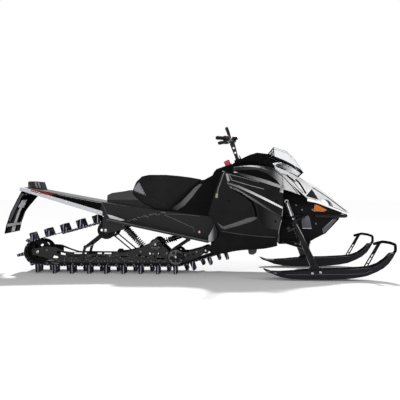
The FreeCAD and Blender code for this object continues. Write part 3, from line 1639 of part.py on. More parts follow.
def ski_shape():
    """The left ski: a channel with a keel, walls and an upturned tip."""
    tail, length, rise, width = mm(S.ski_tail_x, S.ski_length, S.ski_rise, S.ski_width)
    stance = float(S.ski_stance) / 2
    low = from_shares(SKI_LOW_SHARES, tail, length, 0, rise)
    top = from_shares(SKI_TOP_SHARES, tail, length, 0, rise)
    half = width / 2
    wall, sole = mm(S.ski_wall, S.ski_sole)
    body = slab(low + top, stance - half, stance + half)
    floor = [(x, z + sole) for x, z in low[3:-2]]
    lid = 2 * rise
    hollow = floor + [(floor[-1][0], lid), (floor[0][0], lid)]
    body = body.cut(slab(hollow, stance - half + wall, stance + half - wall))
    plan = [Vector(tail + length * u, stance + width * v, -rise) for u, v in SKI_PLAN_SHARES]
    body = body.common(Part.Face(Part.makePolygon(plan + plan[:1])).extrude(Vector(0, 0, 3 * rise)))
    keel_half = float(S.ski_keel_width) / 2
    radius = float(S.runner_radius)
    keel = low[4:8]
    keel_low = [(x, max(z - radius, radius)) for x, z in keel]
    under = slab(keel_low + keel[::-1], stance - keel_half, stance + keel_half)
    bolt = ski_bolt_place()
    side = Vector(0, 1, 0)
    leg_half = float(S.leg_thickness) / 2 + float(S.saddle_gap)
    ear = float(S.saddle_ear)
    ears = []
    for y in (-leg_half - ear, leg_half):
        base = bolt + side * y
        reach = float(S.leg_depth)
        outline = [(bolt.x + reach * share, sole) for share in SADDLE_FOOT_SHARES]
        outline += from_shares(SADDLE_TOP_SHARES, bolt.x, reach, bolt.z, reach)
        ears.append(slab(outline, base.y, base.y + ear))
    outer = leg_half + ear
    pin = rod(bolt - side * outer, bolt + side * outer, S.ski_bolt_radius)
    return body.multiFuse([under, *ears, pin])


def runner_shape():
    """The carbide wear bar under the left ski's keel."""
    tail, length = mm(S.ski_tail_x, S.ski_length)
    y = float(S.ski_stance) / 2
    radius = float(S.runner_radius)
    places = [Vector(tail + length * u, y, radius * v) for u, v in RUNNER_SHARES]
    return bent_tube(places, radius, S.runner_bend)


def loop_shape():
    """The left ski's bent handle with its ladder strut."""
    tail, length, rise = mm(S.ski_tail_x, S.ski_length, S.ski_rise)
    y = float(S.ski_stance) / 2
    radius = float(S.loop_tube_radius)
    places = [Vector(tail + length * u, y, rise * v) for u, v in LOOP_SHARES]
    tube = bent_tube(places, radius, S.loop_bend)
    bars = []
    ends = []
    for low, high in STRUT_SHARES:
        start = Vector(tail + length * low[0], y, rise * low[1])
        stop = Vector(tail + length * high[0], y, rise * high[1])
        ends.append((start, stop))
        bars.append(rod(start, stop, S.strut_radius))
    for share in RUNG_SHARES:
        start = ends[0][0] + (ends[0][1] - ends[0][0]) * share
        stop = ends[1][0] + (ends[1][1] - ends[1][0]) * share
        bars.append(rod(start, stop, S.rung_radius))
    return tube.multiFuse(bars)


def make_skis():
    """Both skis with their legs, handles and runners."""
    leg = leg_shape()
    ski = ski_shape()
    runner = runner_shape()
    ski = ski.cut(runner)
    loop = loop_shape().cut(ski)
    for name, shape in (("spindle", leg), ("ski", ski), ("ski_runner", runner), ("ski_loop", loop)):
        feature(name + "_left", shape)
        feature(name + "_right", mirrored(shape))


make_front_suspension()
make_skis()

# Steering

RISER_HOLE_SHARES = (0.56, 0.78)
BAR_KNEE_SHARES = (0.2, 0.5)
LEVER_REACH_SHARES = (-0.5, 0.9, 1.3)
LEVER_LENGTH_SHARE = 0.9
STRAP_TOP_SHARE = 0.8


def make_steering():
    """The riser, handlebar, grips, controls and strap that turn together."""
    foot, way = post_way()
    head = point(POST_HEAD_X, ZERO, S.post_head_height)
    side = Vector(0, 1, 0)
    gap = float(S.running_gap)
    # Bearing in the dash pod
    ring_low = foot + way * float(S.bearing_rise)
    ring = Part.makeCylinder(float(S.bearing_radius), float(S.bearing_height), ring_low, way)
    ring = ring.cut(post_hole(S.post_radius + S.running_gap))
    feature("steering_bearing", ring)
    # Riser
    ahead = side.cross(way)
    length = (head - foot).Length
    narrow, wide, thick = mm(S.riser_foot_depth / 2, S.riser_head_depth / 2, S.riser_width / 2)
    start = float(S.bearing_rise + S.bearing_height) + gap
    places = [
        foot + way * start - ahead * narrow, foot + way * start + ahead * narrow,
        head + ahead * wide, head - ahead * wide,
    ]
    face = Part.Face(Part.makePolygon(places + places[:1]))
    face.translate(side * -thick)
    riser = face.extrude(side * 2 * thick)
    column = rod(foot, foot + way * (start + float(S.post_radius)), S.post_radius)
    riser = riser.fuse(column)
    for share in RISER_HOLE_SHARES:
        middle = foot + way * length * share
        riser = hollow_eye(riser, middle, float(S.riser_hole_radius), 4 * thick)
    bar_middle = head + way * float(S.bar_lift)
    clamp = side * float(S.clamp_half_width)
    block = rod(bar_middle - clamp, bar_middle + clamp, S.clamp_radius)
    riser = riser.fuse(block)
    riser = hollow_eye(riser, bar_middle, float(S.bar_tube_radius) + gap, 4 * clamp.Length)
    # Bar
    half, end_x, end_z = mm(S.bar_half_width, POST_HEAD_X - S.bar_sweep, S.bar_end_height)
    back_share, out_share = BAR_KNEE_SHARES
    knee = Vector(
        bar_middle.x + (end_x - bar_middle.x) * back_share, half * out_share,
        bar_middle.z + float(S.bar_rise))
    root = bar_middle + side * float(S.bar_flat_half)
    tip = Vector(end_x, half, end_z)
    left = [root, knee, tip]
    right = [Vector(p.x, -p.y, p.z) for p in left]
    bend = float(S.bar_bend)
    bar = bent_tube(right[::-1] + left, S.bar_tube_radius, bend)
    feature("handlebar", bar)
    run = (tip - knee).normalize()
    inner = tip - run * float(S.grip_length)
    grip = rod(inner, tip + run * float(S.grip_cap), S.grip_radius)
    bore = rod(inner - run, tip + run * gap, S.bar_tube_radius + S.running_gap)
    feature("hand_grips", both_sides(grip.cut(bore)))
    # Control blocks and levers
    block_end = inner - run * gap
    block_start = block_end - run * float(S.control_length)
    block = rod(block_start, block_end, S.control_radius)
    forward = Vector(1, 0, 0)
    forward = (forward - run * run.dot(forward)).normalize()
    pivot = block_start + run * float(S.control_length) / 2 + forward * float(S.control_radius)
    reach = forward * float(S.control_radius)
    lever_places = [pivot + reach * share for share in LEVER_REACH_SHARES]
    lever_places[-1] += run * (float(S.grip_length) * LEVER_LENGTH_SHARE)
    lever = bent_tube(lever_places, S.lever_radius, S.lever_radius * 2)
    control = block.fuse(lever)
    bore = rod(block_start - run, block_end + run, S.bar_tube_radius + S.running_gap)
    feature("hand_controls", both_sides(control.cut(bore)))
    # Strap over the bar's middle
    strap_half = float(S.strap_half_width)
    low = bar_middle + side * strap_half
    high = point(POST_HEAD_X - S.strap_rake, ZERO, S.strap_head_height)
    high += side * (strap_half * STRAP_TOP_SHARE)
    arch = [low, high, Vector(high.x, -high.y, high.z), Vector(low.x, -low.y, low.z)]
    strap = bent_tube(arch, S.strap_radius, S.strap_bend)
    strap = strap.cut(bent_tube(right[::-1] + left, S.bar_tube_radius + S.running_gap, bend))
    feature("bar_strap", strap)
    feature("steering_riser", riser)


make_steering()

# Pieces round the nose

SCREEN_SIDE_SHARES = ((0, 0.537), (0.138, 1), (0.514, 0.835), (0.772, 0.537), (1, 0), (0.514, 0.25))
SCREEN_LOW_SHARES = ((-0.4, 1.15), (0, 1.1), (0.514, 0.9), (0.836, 0.5), (1, 0))
SCREEN_HIGH_SHARES = ((-0.4, 0.73), (0.138, 0.71), (0.402, 0.5), (0.514, 0.27), (0.556, 0))


def make_screen():
    """The low clear screen wrapped round the front of the dash pod."""
    rear, length, base, height, half = mm(
        SCREEN_X, S.screen_length, S.screen_base, S.screen_height, S.screen_half_width)
    thick = float(S.screen_thickness)

    def plan_ring(shares, z, inset):
        left = [Vector(rear + length * u, half * v, z) for u, v in shares]
        if inset:
            left = [Vector(p.x - inset, p.y * (1 - inset / half), p.z) for p in left]
        ring = left + [Vector(p.x, -p.y, p.z) for p in left[-2::-1]]
        return Part.makePolygon(ring + ring[:1])

    def cone(inset):
        rings = [
            plan_ring(SCREEN_LOW_SHARES, base, inset),
            plan_ring(SCREEN_HIGH_SHARES, base + height, inset),
        ]
        return Part.makeLoft(rings, True, True)

    side = slab(from_shares(SCREEN_SIDE_SHARES, rear, length, base, height), -2 * half, 2 * half)
    pane = cone(0).cut(cone(thick)).common(side)
    feature("windshield", pane.cut(ridge_shape()).cut(skin(0)))


def make_front_bumper():
    """The black tube loop below the nose's tip."""
    root, tip, height = mm(
        S.front_bumper_root_x, S.front_bumper_tip_x, S.front_bumper_height)
    radius = float(S.bumper_tube_radius)
    inner = float(S.frame_width) / 2 + radius + float(S.running_gap)
    left = [
        Vector(root, inner, height),
        Vector(tip - radius, inner, height),
    ]
    right = [Vector(p.x, -p.y, p.z) for p in left[::-1]]
    feature("front_bumper", bent_tube(left + right, radius, S.bumper_bend))


REFLECTOR_SHARES = ((0, 0.08), (0.1, 1), (0.3, 0.95), (1, 0.25), (0.75, 0))
OUTLET_SHARES = ((-0.5, 1), (-0.4, 0.153), (-0.25, 0), (0.1, 0), (0.35, 0.255), (0.5, 1))
# Corners of a hanger plate, in hub radii from the idler's axle and the shock's shaft
HANGER_IDLER_SHARES = ((-1, -0.6), (0.4, -1))
HANGER_SHOCK_SHARES = ((1, -0.6), (1, 2.4))
HANGER_ROOF_SHARES = ((1, 5), (-1, 5))
TOE_SHARES = (
    (0.004, 0.02), (0.03, 0.3), (0.3, 0.56), (0.55, 0.82), (0.62, 1), (0.78, 0.95),
    (1, 0.6), (1, 0.32), (0.78, 0.08), (0.53, 0), (0.2, -0.05),
)


def make_reflectors():
    """Amber side reflectors under the cowl's lower edge."""
    x, base, length, height, thick = mm(
        S.reflector_x, S.reflector_base, S.reflector_length, S.reflector_height,
        S.reflector_thickness)
    inner = float(S.frame_width) / 2 + float(S.running_gap)
    outline = from_shares(REFLECTOR_SHARES, x, length, base, height)
    feature("side_reflectors", both_sides(slab(outline, inner, inner + thick)))


def make_outlet():
    """The exhaust outlet that shows under the belly."""
    x, length, base, height = mm(
        S.outlet_x, S.outlet_length, S.outlet_base, S.outlet_height)
    y, half = mm(S.outlet_y, S.outlet_width / 2)
    pipe = slab(from_shares(OUTLET_SHARES, x, length, base, height), y - half, y + half)
    feature("exhaust_outlet", pipe.cut(skin(0)))


def make_brackets():
    """Hanger plates under the tunnel for the upper idlers and the rear shock."""
    inner = float(S.tunnel_width) / 2 - float(S.tunnel_wall) - float(S.running_gap)
    thick = float(S.bracket_thickness)
    x, z, shock_x, shock_z = mm(
        S.upper_idler_x, S.upper_idler_height, S.shock_head_x, S.shock_head_height)
    reach = float(S.hub_radius)
    outline = [
        *from_shares(HANGER_IDLER_SHARES, x, reach, z, reach),
        *from_shares(HANGER_SHOCK_SHARES, shock_x, reach, shock_z, reach),
        *from_shares(HANGER_ROOF_SHARES, x, reach, z, reach),
    ]
    plate = slab(outline, inner - thick, inner)
    across_bar = rod(
        Vector(shock_x, -inner, shock_z), Vector(shock_x, inner, shock_z), S.cross_shaft_radius)
    feature("skid_hangers", plate.multiFuse([mirrored(plate), across_bar]))


def make_toe_holds():
    """Curved pale foot stops that rise from the front end of each running board."""
    outer = float(S.tunnel_width) / 2 + float(S.board_width)
    outline = plain(from_shares(
        TOE_SHARES, S.board_front_x, S.toe_length, S.toe_base, S.toe_height))
    feature("toe_holds", both_sides(slab(outline, outer - float(S.toe_width), outer)))


def make_filler_cap():
    """The fuel filler's cap, leaning back with the console's slope."""
    foot = point(DASH_X - S.cap_setback, ZERO, S.cap_base)
    head = foot + point(-S.cap_lean, ZERO, S.cap_rise)
    way = (head - foot).normalize()
    cap = rod(foot, head, S.cap_radius)
    collar = rod(foot, foot + way * float(S.cap_collar_height), S.cap_collar_radius)
    below = console.Shape.copy()
    below.translate(Vector(0, 0, float(S.running_gap)))
    feature("filler_cap", cap.fuse(collar).cut(below))


make_screen()
make_front_bumper()
make_reflectors()
make_outlet()
make_brackets()
make_toe_holds()
make_filler_cap()

doc.recompute()
os.makedirs("parts", exist_ok=True)
for thing in doc.Objects:
    if "Invalid" in thing.State or "Error" in thing.State:
        raise RuntimeError(f"{thing.Name} failed: {thing.State}")
for node in NODES:
    if node.Shape.isNull() or not node.Shape.isValid():
        raise RuntimeError(f"{node.Label} has no valid shape")
    node.Shape.exportStep(os.path.join("parts", node.Label + ".step"))
    print(node.Label, len(node.Shape.Solids), round(node.Shape.Volume / 1e6, 3))
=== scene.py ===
"""Looks of a mountain snowmobile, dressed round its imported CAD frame."""

import logging
import math
import random
from dataclasses import dataclass, field
from enum import Enum
from typing import Iterable, Optional, Sequence, Union

import bmesh
import bpy
from mathutils import Matrix, Vector
from mathutils.bvhtree import BVHTree


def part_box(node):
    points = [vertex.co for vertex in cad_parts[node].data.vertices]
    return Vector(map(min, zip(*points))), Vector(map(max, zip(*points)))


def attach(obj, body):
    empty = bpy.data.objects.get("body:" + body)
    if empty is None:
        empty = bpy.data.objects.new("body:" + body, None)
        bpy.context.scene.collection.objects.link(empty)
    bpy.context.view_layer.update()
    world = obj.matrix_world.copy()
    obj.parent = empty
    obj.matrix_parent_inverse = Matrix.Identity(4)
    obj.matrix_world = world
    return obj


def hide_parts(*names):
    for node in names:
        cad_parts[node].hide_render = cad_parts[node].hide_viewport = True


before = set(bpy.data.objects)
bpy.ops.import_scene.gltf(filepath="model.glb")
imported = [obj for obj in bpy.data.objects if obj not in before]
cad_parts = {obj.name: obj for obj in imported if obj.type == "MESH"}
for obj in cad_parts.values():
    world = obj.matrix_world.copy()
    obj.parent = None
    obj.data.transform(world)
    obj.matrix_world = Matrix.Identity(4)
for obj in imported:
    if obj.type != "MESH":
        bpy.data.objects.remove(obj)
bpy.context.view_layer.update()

LOG = logging.getLogger("snowmobile")
FULL_TURN = 2 * math.pi
WHITE = (1.0, 1.0, 1.0, 1.0)
ALONG, ACROSS, UP = Vector((1, 0, 0)), Vector((0, 1, 0)), Vector((0, 0, 1))

Point = Sequence[float]
Spot = tuple[float, float]
Colour = tuple[float, float, float]
Line = Sequence[Spot]
Form = bmesh.types.BMesh
Piece = bpy.types.Object
Material = bpy.types.Material
Socket = bpy.types.NodeSocket
Value = Union[float, Socket]


class Body(str, Enum):
    """The rigid bodies that pieces ride on."""

    CHASSIS = "chassis"
    STEERING = "steering"
    LEG_LEFT = "ski_leg_left"
    LEG_RIGHT = "ski_leg_right"


class View(str, Enum):
    """The way that a film is drawn from."""

    SIDE = "side"
    FRONT = "front"


class Side(int, Enum):
    """The two sides of the machine, as the sign of Y."""

    RIGHT = -1
    LEFT = 1

    @property
    def word(self) -> str:
        """Returns the side's name for the names of pieces."""
        return self.name.lower()

    @property
    def leg(self) -> Body:
        """Returns the body of the ski leg on this side."""
        return Body.LEG_LEFT if self is Side.LEFT else Body.LEG_RIGHT


class Layer(float, Enum):
    """How far a film stands off the skin, from the lowest to the topmost."""

    UNDER = 0.0004
    SKIN = 0.0006
    CLOTH = 0.0008
    RAISED = 0.0010
    OVER = 0.0012
    TOP = 0.0018


def mm(*numbers: int) -> Line:
    """Returns a line of points from two numbers in turn, in millimetres."""
    return tuple((a / 1000, b / 1000) for a, b in zip(numbers[::2], numbers[1::2]))


# Materials


class Nodes:
    """Adds nodes to one tree."""

    def __init__(self, tree: bpy.types.NodeTree) -> None:
        """Empties the tree and keeps it."""
        tree.nodes.clear()
        self.tree = tree

    def node(self, kind: str, inputs: dict[object, object], **settings: object) -> bpy.types.Node:
        """Adds a node.

        Args:
            kind: The node's type, without its common first word.
            inputs: Values or sockets, by the input's name or number.
            settings: Plain properties of the node.

        Returns:
            The node.
        """
        made = self.tree.nodes.new("ShaderNode" + kind)
        for key, value in settings.items():
            setattr(made, key, value)
        for key, value in inputs.items():
            if isinstance(value, Socket):
                self.tree.links.new(value, made.inputs[key])
            else:
                made.inputs[key].default_value = value
        return made

    def calc(self, how: str, first: Value, second: Value = 0.0) -> Socket:
        """Returns one sum of two values."""
        return self.node("Math", {0: first, 1: second}, operation=how).outputs[0]


class Recipe(Nodes):
    """Lays the nodes of one procedural material round a single shader."""

    def __init__(self, name: str, **sockets: object) -> None:
        """Starts the material.

        Args:
            name: The material's name.
            sockets: Plain settings of the shader, with _ for spaces.
        """
        self.material = bpy.data.materials.new(name)
        self.material.use_nodes = True
        super().__init__(self.material.node_tree)
        self.shader = self.node("BsdfPrincipled", {})
        self.output = self.node("OutputMaterial", {"Surface": self.shader.outputs[0]})
        self.place = self.node("TexCoord", {}).outputs["Object"]
        self.normal: Optional[Socket] = None
        for key, value in sockets.items():
            self.shader.inputs[key.replace("_", " ")].default_value = value

    def stretched(self, by: Optional[Point]) -> Socket:
        """Returns the object's coordinates, each times its own factor if there are any."""
        return self.node("Mapping", {"Vector": self.place, "Scale": by}).outputs[0] if by else self.place

    def grain(self, scale: float, detail: float = 3.0, by: Optional[Point] = None) -> Socket:
        """Returns a noise that runs from 0 to 1."""
        inputs = {"Vector": self.stretched(by), "Scale": scale, "Detail": detail}
        return self.node("TexNoise", inputs).outputs["Fac"]

    def cells(self, scale: float, feature: str = "F1") -> Socket:
        """Returns the distance to the nearest cell of a pebbled pattern."""
        inputs = {"Vector": self.place, "Scale": scale}
        return self.node("TexVoronoi", inputs, feature=feature).outputs["Distance"]

    def ribs(self, scale: float, axis: str, bend: float = 0.0) -> Socket:
        """Returns straight ridges across one axis."""
        inputs = {"Vector": self.place, "Scale": scale, "Distortion": bend}
        return self.node("TexWave", inputs, wave_type="BANDS", bands_direction=axis).outputs["Fac"]

    def span(self, value: Socket, low: float, high: float, first: float = 0.0, last: float = 1.0) -> Socket:
        """Returns value carried smoothly from the range low to high to the range first to last."""
        inputs = {"Value": value, "From Min": low, "From Max": high, "To Min": first, "To Max": last}
        return self.node("MapRange", inputs, interpolation_type="SMOOTHSTEP").outputs[0]

    def paint(self, amount: Socket, under: object, over: object) -> Socket:
        """Returns one colour laid over another."""
        return self.node("Mix", {0: amount, 6: rgba(under), 7: rgba(over)}, data_type="RGBA").outputs[2]

    def raise_by(self, height: Socket, strength: float, reach: float) -> None:
        """Adds to the surface's relief.

        Args:
            height: The form of what is added.
            strength: How much of it shows.
            reach: How high it stands, in metres.
        """
        inputs = {"Height": height, "Strength": strength, "Distance": reach}
        if self.normal is not None:
            inputs["Normal"] = self.normal
        self.normal = self.node("Bump", inputs).outputs[0]

    def done(self, colour: Optional[Socket] = None, rough: Optional[Socket] = None) -> Material:
        """Joins what varies to the shader.

        Args:
            colour: The colour where it varies.
            rough: The roughness where it varies.

        Returns:
            The material.
        """
        for key, value in (("Base Color", colour), ("Roughness", rough), ("Normal", self.normal)):
            if value is not None:
                self.tree.links.new(value, self.shader.inputs[key])
        return self.material


def rgba(colour: object) -> object:
    """Returns a colour with its fourth number, and a socket as it is."""
    return colour if isinstance(colour, Socket) else (*colour, 1.0)


@dataclass(frozen=True)
class Finish:
    """What every finish has: a name and a main colour."""

    name: str
    colour: Colour

    def tone(self, by: float) -> Colour:
        """Returns the main colour with its light multiplied."""
        return tuple(min(part * by, 1.0) for part in self.colour)

    def make(self) -> Material:
        """Returns the material, which each kind of finish mixes in its own way."""
        raise NotImplementedError


@dataclass(frozen=True)
class Moulding(Finish):
    """Moulded plastic or painted body: grain, faint mottling and scuffs."""

    rough: float = 0.42
    grain: float = 1400.0
    depth: float = 0.12
    scuff: float = 0.35
    coat: float = 0.0
    shine: float = 0.10

    def make(self) -> Material:
        """Mixes the plastic.

        Returns:
            The material.
        """
        mix = Recipe(self.name, Specular_IOR_Level=self.shine, Coat_Weight=self.coat, Coat_Roughness=0.06)
        cloud = mix.grain(9.0, 4.0)
        fine = mix.grain(self.grain, 2.0)
        scratch = mix.span(mix.grain(60.0, 5.0, (1, 1, 14)), 0.62, 0.72)
        colour = mix.paint(mix.span(cloud, 0.3, 0.7), self.tone(0.86), self.tone(1.14))
        colour = mix.paint(mix.calc("MULTIPLY", scratch, 0.10 * self.scuff), colour, self.tone(2.2))
        rough = mix.span(cloud, 0.25, 0.75, self.rough * 0.88, self.rough * 1.12)
        rough = mix.calc("ADD", rough, mix.calc("MULTIPLY", scratch, 0.25 * self.scuff))
        mix.raise_by(fine, self.depth, 0.0004)
        return mix.done(colour, rough)


@dataclass(frozen=True)
class Fade(Finish):
    """Film that fades from its main colour to another toward the front: printed stripes, and painted sheen,
    shade and highlights.
    """

    front: Colour
    start: float
    end: float
    rough: float = 0.4
    shine: float = 0.04

    def make(self) -> Material:
        """Mixes the film.

        Returns:
            The material.
        """
        mix = Recipe(self.name, Specular_IOR_Level=self.shine)
        along = mix.node("SeparateXYZ", {0: mix.place}).outputs["X"]
        dots = mix.span(mix.cells(900.0), 0.25, 0.45)
        amount = mix.calc("ADD", mix.span(along, self.start, self.end), mix.calc("MULTIPLY", dots, 0.02))
        colour = mix.paint(amount, self.colour, self.front)
        mix.raise_by(mix.grain(1300.0, 2.0), 0.04, 0.0003)
        return mix.done(colour, mix.span(mix.grain(12.0), 0.3, 0.7, self.rough * 0.9, self.rough * 1.1))


@dataclass(frozen=True)
class Rubber(Finish):
    """Moulded rubber with a dull bloom, a little packed dust and painted highlights on its ribs where it has
    any.
    """

    rough: float = 0.72
    bloom: float = 0.5
    # Scale of the ribs that carry painted highlights; none where 0.
    ribs: float = 0.0

    def make(self) -> Material:
        """Mixes the rubber, with painted highlights on its ribs where it has any.

        Returns:
            The material.
        """
        mix = Recipe(self.name, Specular_IOR_Level=0.16)
        cloud = mix.grain(28.0, 6.0)
        fine = mix.grain(700.0, 3.0)
        dust = mix.span(cloud, 0.5, 0.78)
        colour = mix.paint(mix.calc("MULTIPLY", dust, self.bloom), self.colour, self.tone(2.4))
        rough = mix.span(cloud, 0.3, 0.7, self.rough * 0.85, min(self.rough * 1.15, 1.0))
        mix.raise_by(fine, 0.35, 0.0006)
        mix.raise_by(cloud, 0.2, 0.002)
        # Painted highlights: pale stripes over the ribs, strongest on faces that face the sides.
        if self.ribs:
            rib = mix.calc("MAXIMUM", mix.ribs(self.ribs, "Y"), mix.ribs(self.ribs * 1.9, "X", 0.8))
            rib = mix.span(rib, 0.80, 0.95)
            faces = mix.node("SeparateXYZ", {0: mix.node("NewGeometry", {}).outputs["True Normal"]})
            ends = mix.span(mix.calc("ABSOLUTE", faces.outputs["Y"]), 0.3, 0.8, 0.12, 0.8)
            colour = mix.paint(mix.calc("MULTIPLY", rib, ends), colour, self.tone(52.0))
            mix.raise_by(rib, 0.5, 0.003)
        return mix.done(colour, rough)


@dataclass(frozen=True)
class Metal(Finish):
    """Bare metal: brushed along the machine, with faint stains."""

    rough: float = 0.3
    stain: float = 0.3
    stain_colour: Colour = (0.16, 0.13, 0.11)

    def make(self) -> Material:
        """Mixes the metal.

        Returns:
            The material.
        """
        mix = Recipe(self.name, Metallic=1.0)
        lines = mix.grain(900.0, 2.0, (0.05, 1.0, 1.0))
        cloud = mix.grain(22.0, 5.0)
        colour = mix.paint(mix.span(lines, 0.3, 0.7), self.tone(0.85), self.colour)
        stains = mix.calc("MULTIPLY", mix.span(cloud, 0.55, 0.8), self.stain)
        colour = mix.paint(stains, colour, self.stain_colour)
        rough = mix.span(lines, 0.25, 0.75, self.rough * 0.8, self.rough * 1.25)
        mix.raise_by(lines, 0.12, 0.0002)
        return mix.done(colour, rough)


@dataclass(frozen=True)
class Paint(Finish):
    """Baked paint over metal: orange peel, clear coat, chips of bare metal."""

    rough: float = 0.3
    coat: float = 0.5
    chips: float = 0.4
    bare: Colour = (0.22, 0.22, 0.23)

    def make(self) -> Material:
        """Mixes the paint.

        Returns:
            The material.
        """
        mix = Recipe(self.name, Coat_Weight=self.coat, Coat_Roughness=0.12, Specular_IOR_Level=0.2)
        peel = mix.grain(420.0, 2.0)
        cloud = mix.grain(16.0, 4.0)
        chip = mix.span(mix.grain(95.0, 6.0), 0.7, 0.72)
        colour = mix.paint(mix.span(cloud, 0.3, 0.7), self.tone(0.85), self.tone(1.2))
        colour = mix.paint(mix.calc("MULTIPLY", chip, self.chips), colour, self.bare)
        rough = mix.span(cloud, 0.3, 0.7, self.rough * 0.85, self.rough * 1.2)
        mix.raise_by(peel, 0.1, 0.0005)
        mix.raise_by(chip, -0.15, 0.0003)
        return mix.done(colour, rough)


@dataclass(frozen=True)
class Vinyl(Finish):
    """Pebbled seat vinyl with soft creases and no gloss."""

    pebble: float = 620.0
    rough: float = 0.52

    def make(self) -> Material:
        """Mixes the vinyl.

        Returns:
            The material.
        """
        mix = Recipe(self.name, Specular_IOR_Level=0.0)
        pebble = mix.cells(self.pebble, "SMOOTH_F1")
        crease = mix.grain(14.0, 3.0, (1, 1, 2.5))
        cloud = mix.span(mix.grain(5.0, 3.0), 0.35, 0.7)
        # Painted shade: darker between the pebbles, lighter on their tops.
        colour = mix.paint(mix.span(pebble, 0.1, 0.6), self.tone(1.25), self.tone(0.75))
        colour = mix.paint(mix.calc("MULTIPLY", cloud, 0.5), colour, self.tone(1.5))
        rough = mix.span(crease, 0.3, 0.7, self.rough * 0.85, self.rough * 1.15)
        mix.raise_by(pebble, -0.3, 0.0006)
        mix.raise_by(crease, 0.1, 0.004)
        return mix.done(colour, rough)


@dataclass(frozen=True)
class Weave(Finish):
    """Woven webbing or knit: two crossed sets of threads."""

    threads: float = 260.0
    rough: float = 0.85

    def make(self) -> Material:
        """Mixes the cloth.

        Returns:
            The material.
        """
        mix = Recipe(self.name, Sheen_Weight=0.3, Sheen_Roughness=0.4, Specular_IOR_Level=0.2)
        cross = mix.calc("MAXIMUM", mix.ribs(self.threads, "X"), mix.ribs(self.threads, "Z"))
        fluff = mix.grain(1200.0, 2.0)
        # Painted light and shade: lighter on the raised threads, darker between them.
        colour = mix.paint(mix.span(cross, 0.2, 0.8), self.tone(0.6), self.tone(1.35))
        colour = mix.paint(mix.calc("MULTIPLY", fluff, 0.25), colour, self.tone(1.8))
        mix.raise_by(cross, 0.5, 0.0008)
        return mix.done(colour, mix.span(fluff, 0.2, 0.8, self.rough * 0.9, self.rough))


@dataclass(frozen=True)
class Lens(Finish):
    """Clear or tinted moulding with a prismatic back."""

    clear: float = 0.6
    prism: float = 160.0
    rough: float = 0.08
    depth: float = 0.5

    def make(self) -> Material:
        """Mixes the moulding.

        Returns:
            The material.
        """
        mix = Recipe(self.name, Transmission_Weight=self.clear, IOR=1.49, Coat_Weight=0.4,
                     Coat_Roughness=0.04)
        facet = mix.cells(self.prism)
        colour = mix.paint(mix.span(facet, 0.0, 0.7), self.tone(1.25), self.tone(0.6))
        mix.raise_by(facet, self.depth, 0.001)
        return mix.done(colour, mix.span(mix.grain(40.0), 0.3, 0.7, self.rough * 0.7, self.rough * 1.4))


@dataclass(frozen=True)
class ClearSheet(Finish):
    """Bent clear sheet with faint haze and fine wipe marks."""

    rough: float = 0.03

    def make(self) -> Material:
        """Mixes the sheet.

        Returns:
            The material.
        """
        mix = Recipe(self.name, Transmission_Weight=1.0, IOR=1.12, Specular_IOR_Level=0.5)
        haze = mix.span(mix.grain(30.0, 5.0, (1, 1, 6)), 0.5, 0.8)
        colour = mix.paint(haze, self.colour, self.tone(0.93))
        return mix.done(colour, mix.span(haze, 0.0, 1.0, self.rough, self.rough * 3.0))


# Shaping


def publish(piece: Piece, body: Body, slot: str, finish: Material) -> None:
    """Gives a new piece its finish, shading and body.

    Args:
        piece: The new object, in the frame's place.
        body: The body that it rides on.
        slot: Not used.
        finish: Its material.
    """
    piece.data.materials.clear()
    piece.data.materials.append(finish)
    piece.data.polygons.foreach_set("use_smooth", [True] * len(piece.data.polygons))
    piece.data.set_sharp_from_angle(angle=math.radians(40))
    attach(piece, body.value)
    LOG.info("%s on %s: %d faces", piece.name, body.value, len(piece.data.polygons))


def from_mesh(name: str, form: Form) -> Piece:
    """Turns a form into an object.

    Args:
        name: The object's name.
        form: Its mesh, which is used up.

    Returns:
        The object.
    """
    bmesh.ops.recalc_face_normals(form, faces=form.faces)
    mesh = bpy.data.meshes.new(name)
    form.to_mesh(mesh)
    form.free()
    piece = bpy.data.objects.new(name, mesh)
    bpy.context.scene.collection.objects.link(piece)
    return piece


def circle(radius: float, height: float, steps: int) -> list[Vector]:
    """Returns the corners of a level circle round Z."""
    turns = (FULL_TURN * k / steps for k in range(steps))
    return [Vector((radius * math.cos(turn), radius * math.sin(turn), height)) for turn in turns]


def aim(place: Point, axis: Point) -> Matrix:
    """Returns the matrix that stands local Z along axis at place."""
    turn = Vector(axis).to_track_quat("Z", "Y").to_matrix().to_4x4()
    return Matrix.Translation(Vector(place)) @ turn


def loft(form: Form, rings: Sequence[Sequence[Point]]) -> None:
    """Joins rings of points to a capped solid and adds it to form.

    Args:
        form: The mesh being built.
        rings: Rings with equal numbers of points.
    """
    made = [[form.verts.new(point) for point in ring] for ring in rings]
    for low, high in zip(made, made[1:]):
        for k in range(len(low)):
            after = (k + 1) % len(low)
            form.faces.new((low[k], low[after], high[after], high[k]))
    form.faces.new(made[0])
    form.faces.new(made[-1])


def lathe(form: Form, profile: Line, place: Point, axis: Point, steps: int = 24) -> None:
    """Turns a profile about an axis and adds it to form.

    Args:
        form: The mesh being built.
        profile: Pairs of radius and height along the axis, closed by itself at the axis.
        place: The axis's foot.
        axis: Its direction.
        steps: How many sides the turning has.
    """
    where = aim(place, axis)
    rings = [[form.verts.new(where @ corner) for corner in circle(radius, height, steps if radius else 1)]
             for radius, height in profile]
    for low, high in zip(rings, rings[1:]):
        for k in range(steps):
            after = k + 1
            corners = (low[k % len(low)], low[after % len(low)], high[after % len(high)], high[k % len(high)])
            unique = list(dict.fromkeys(corners))
            if len(unique) > 2:
                form.faces.new(unique)


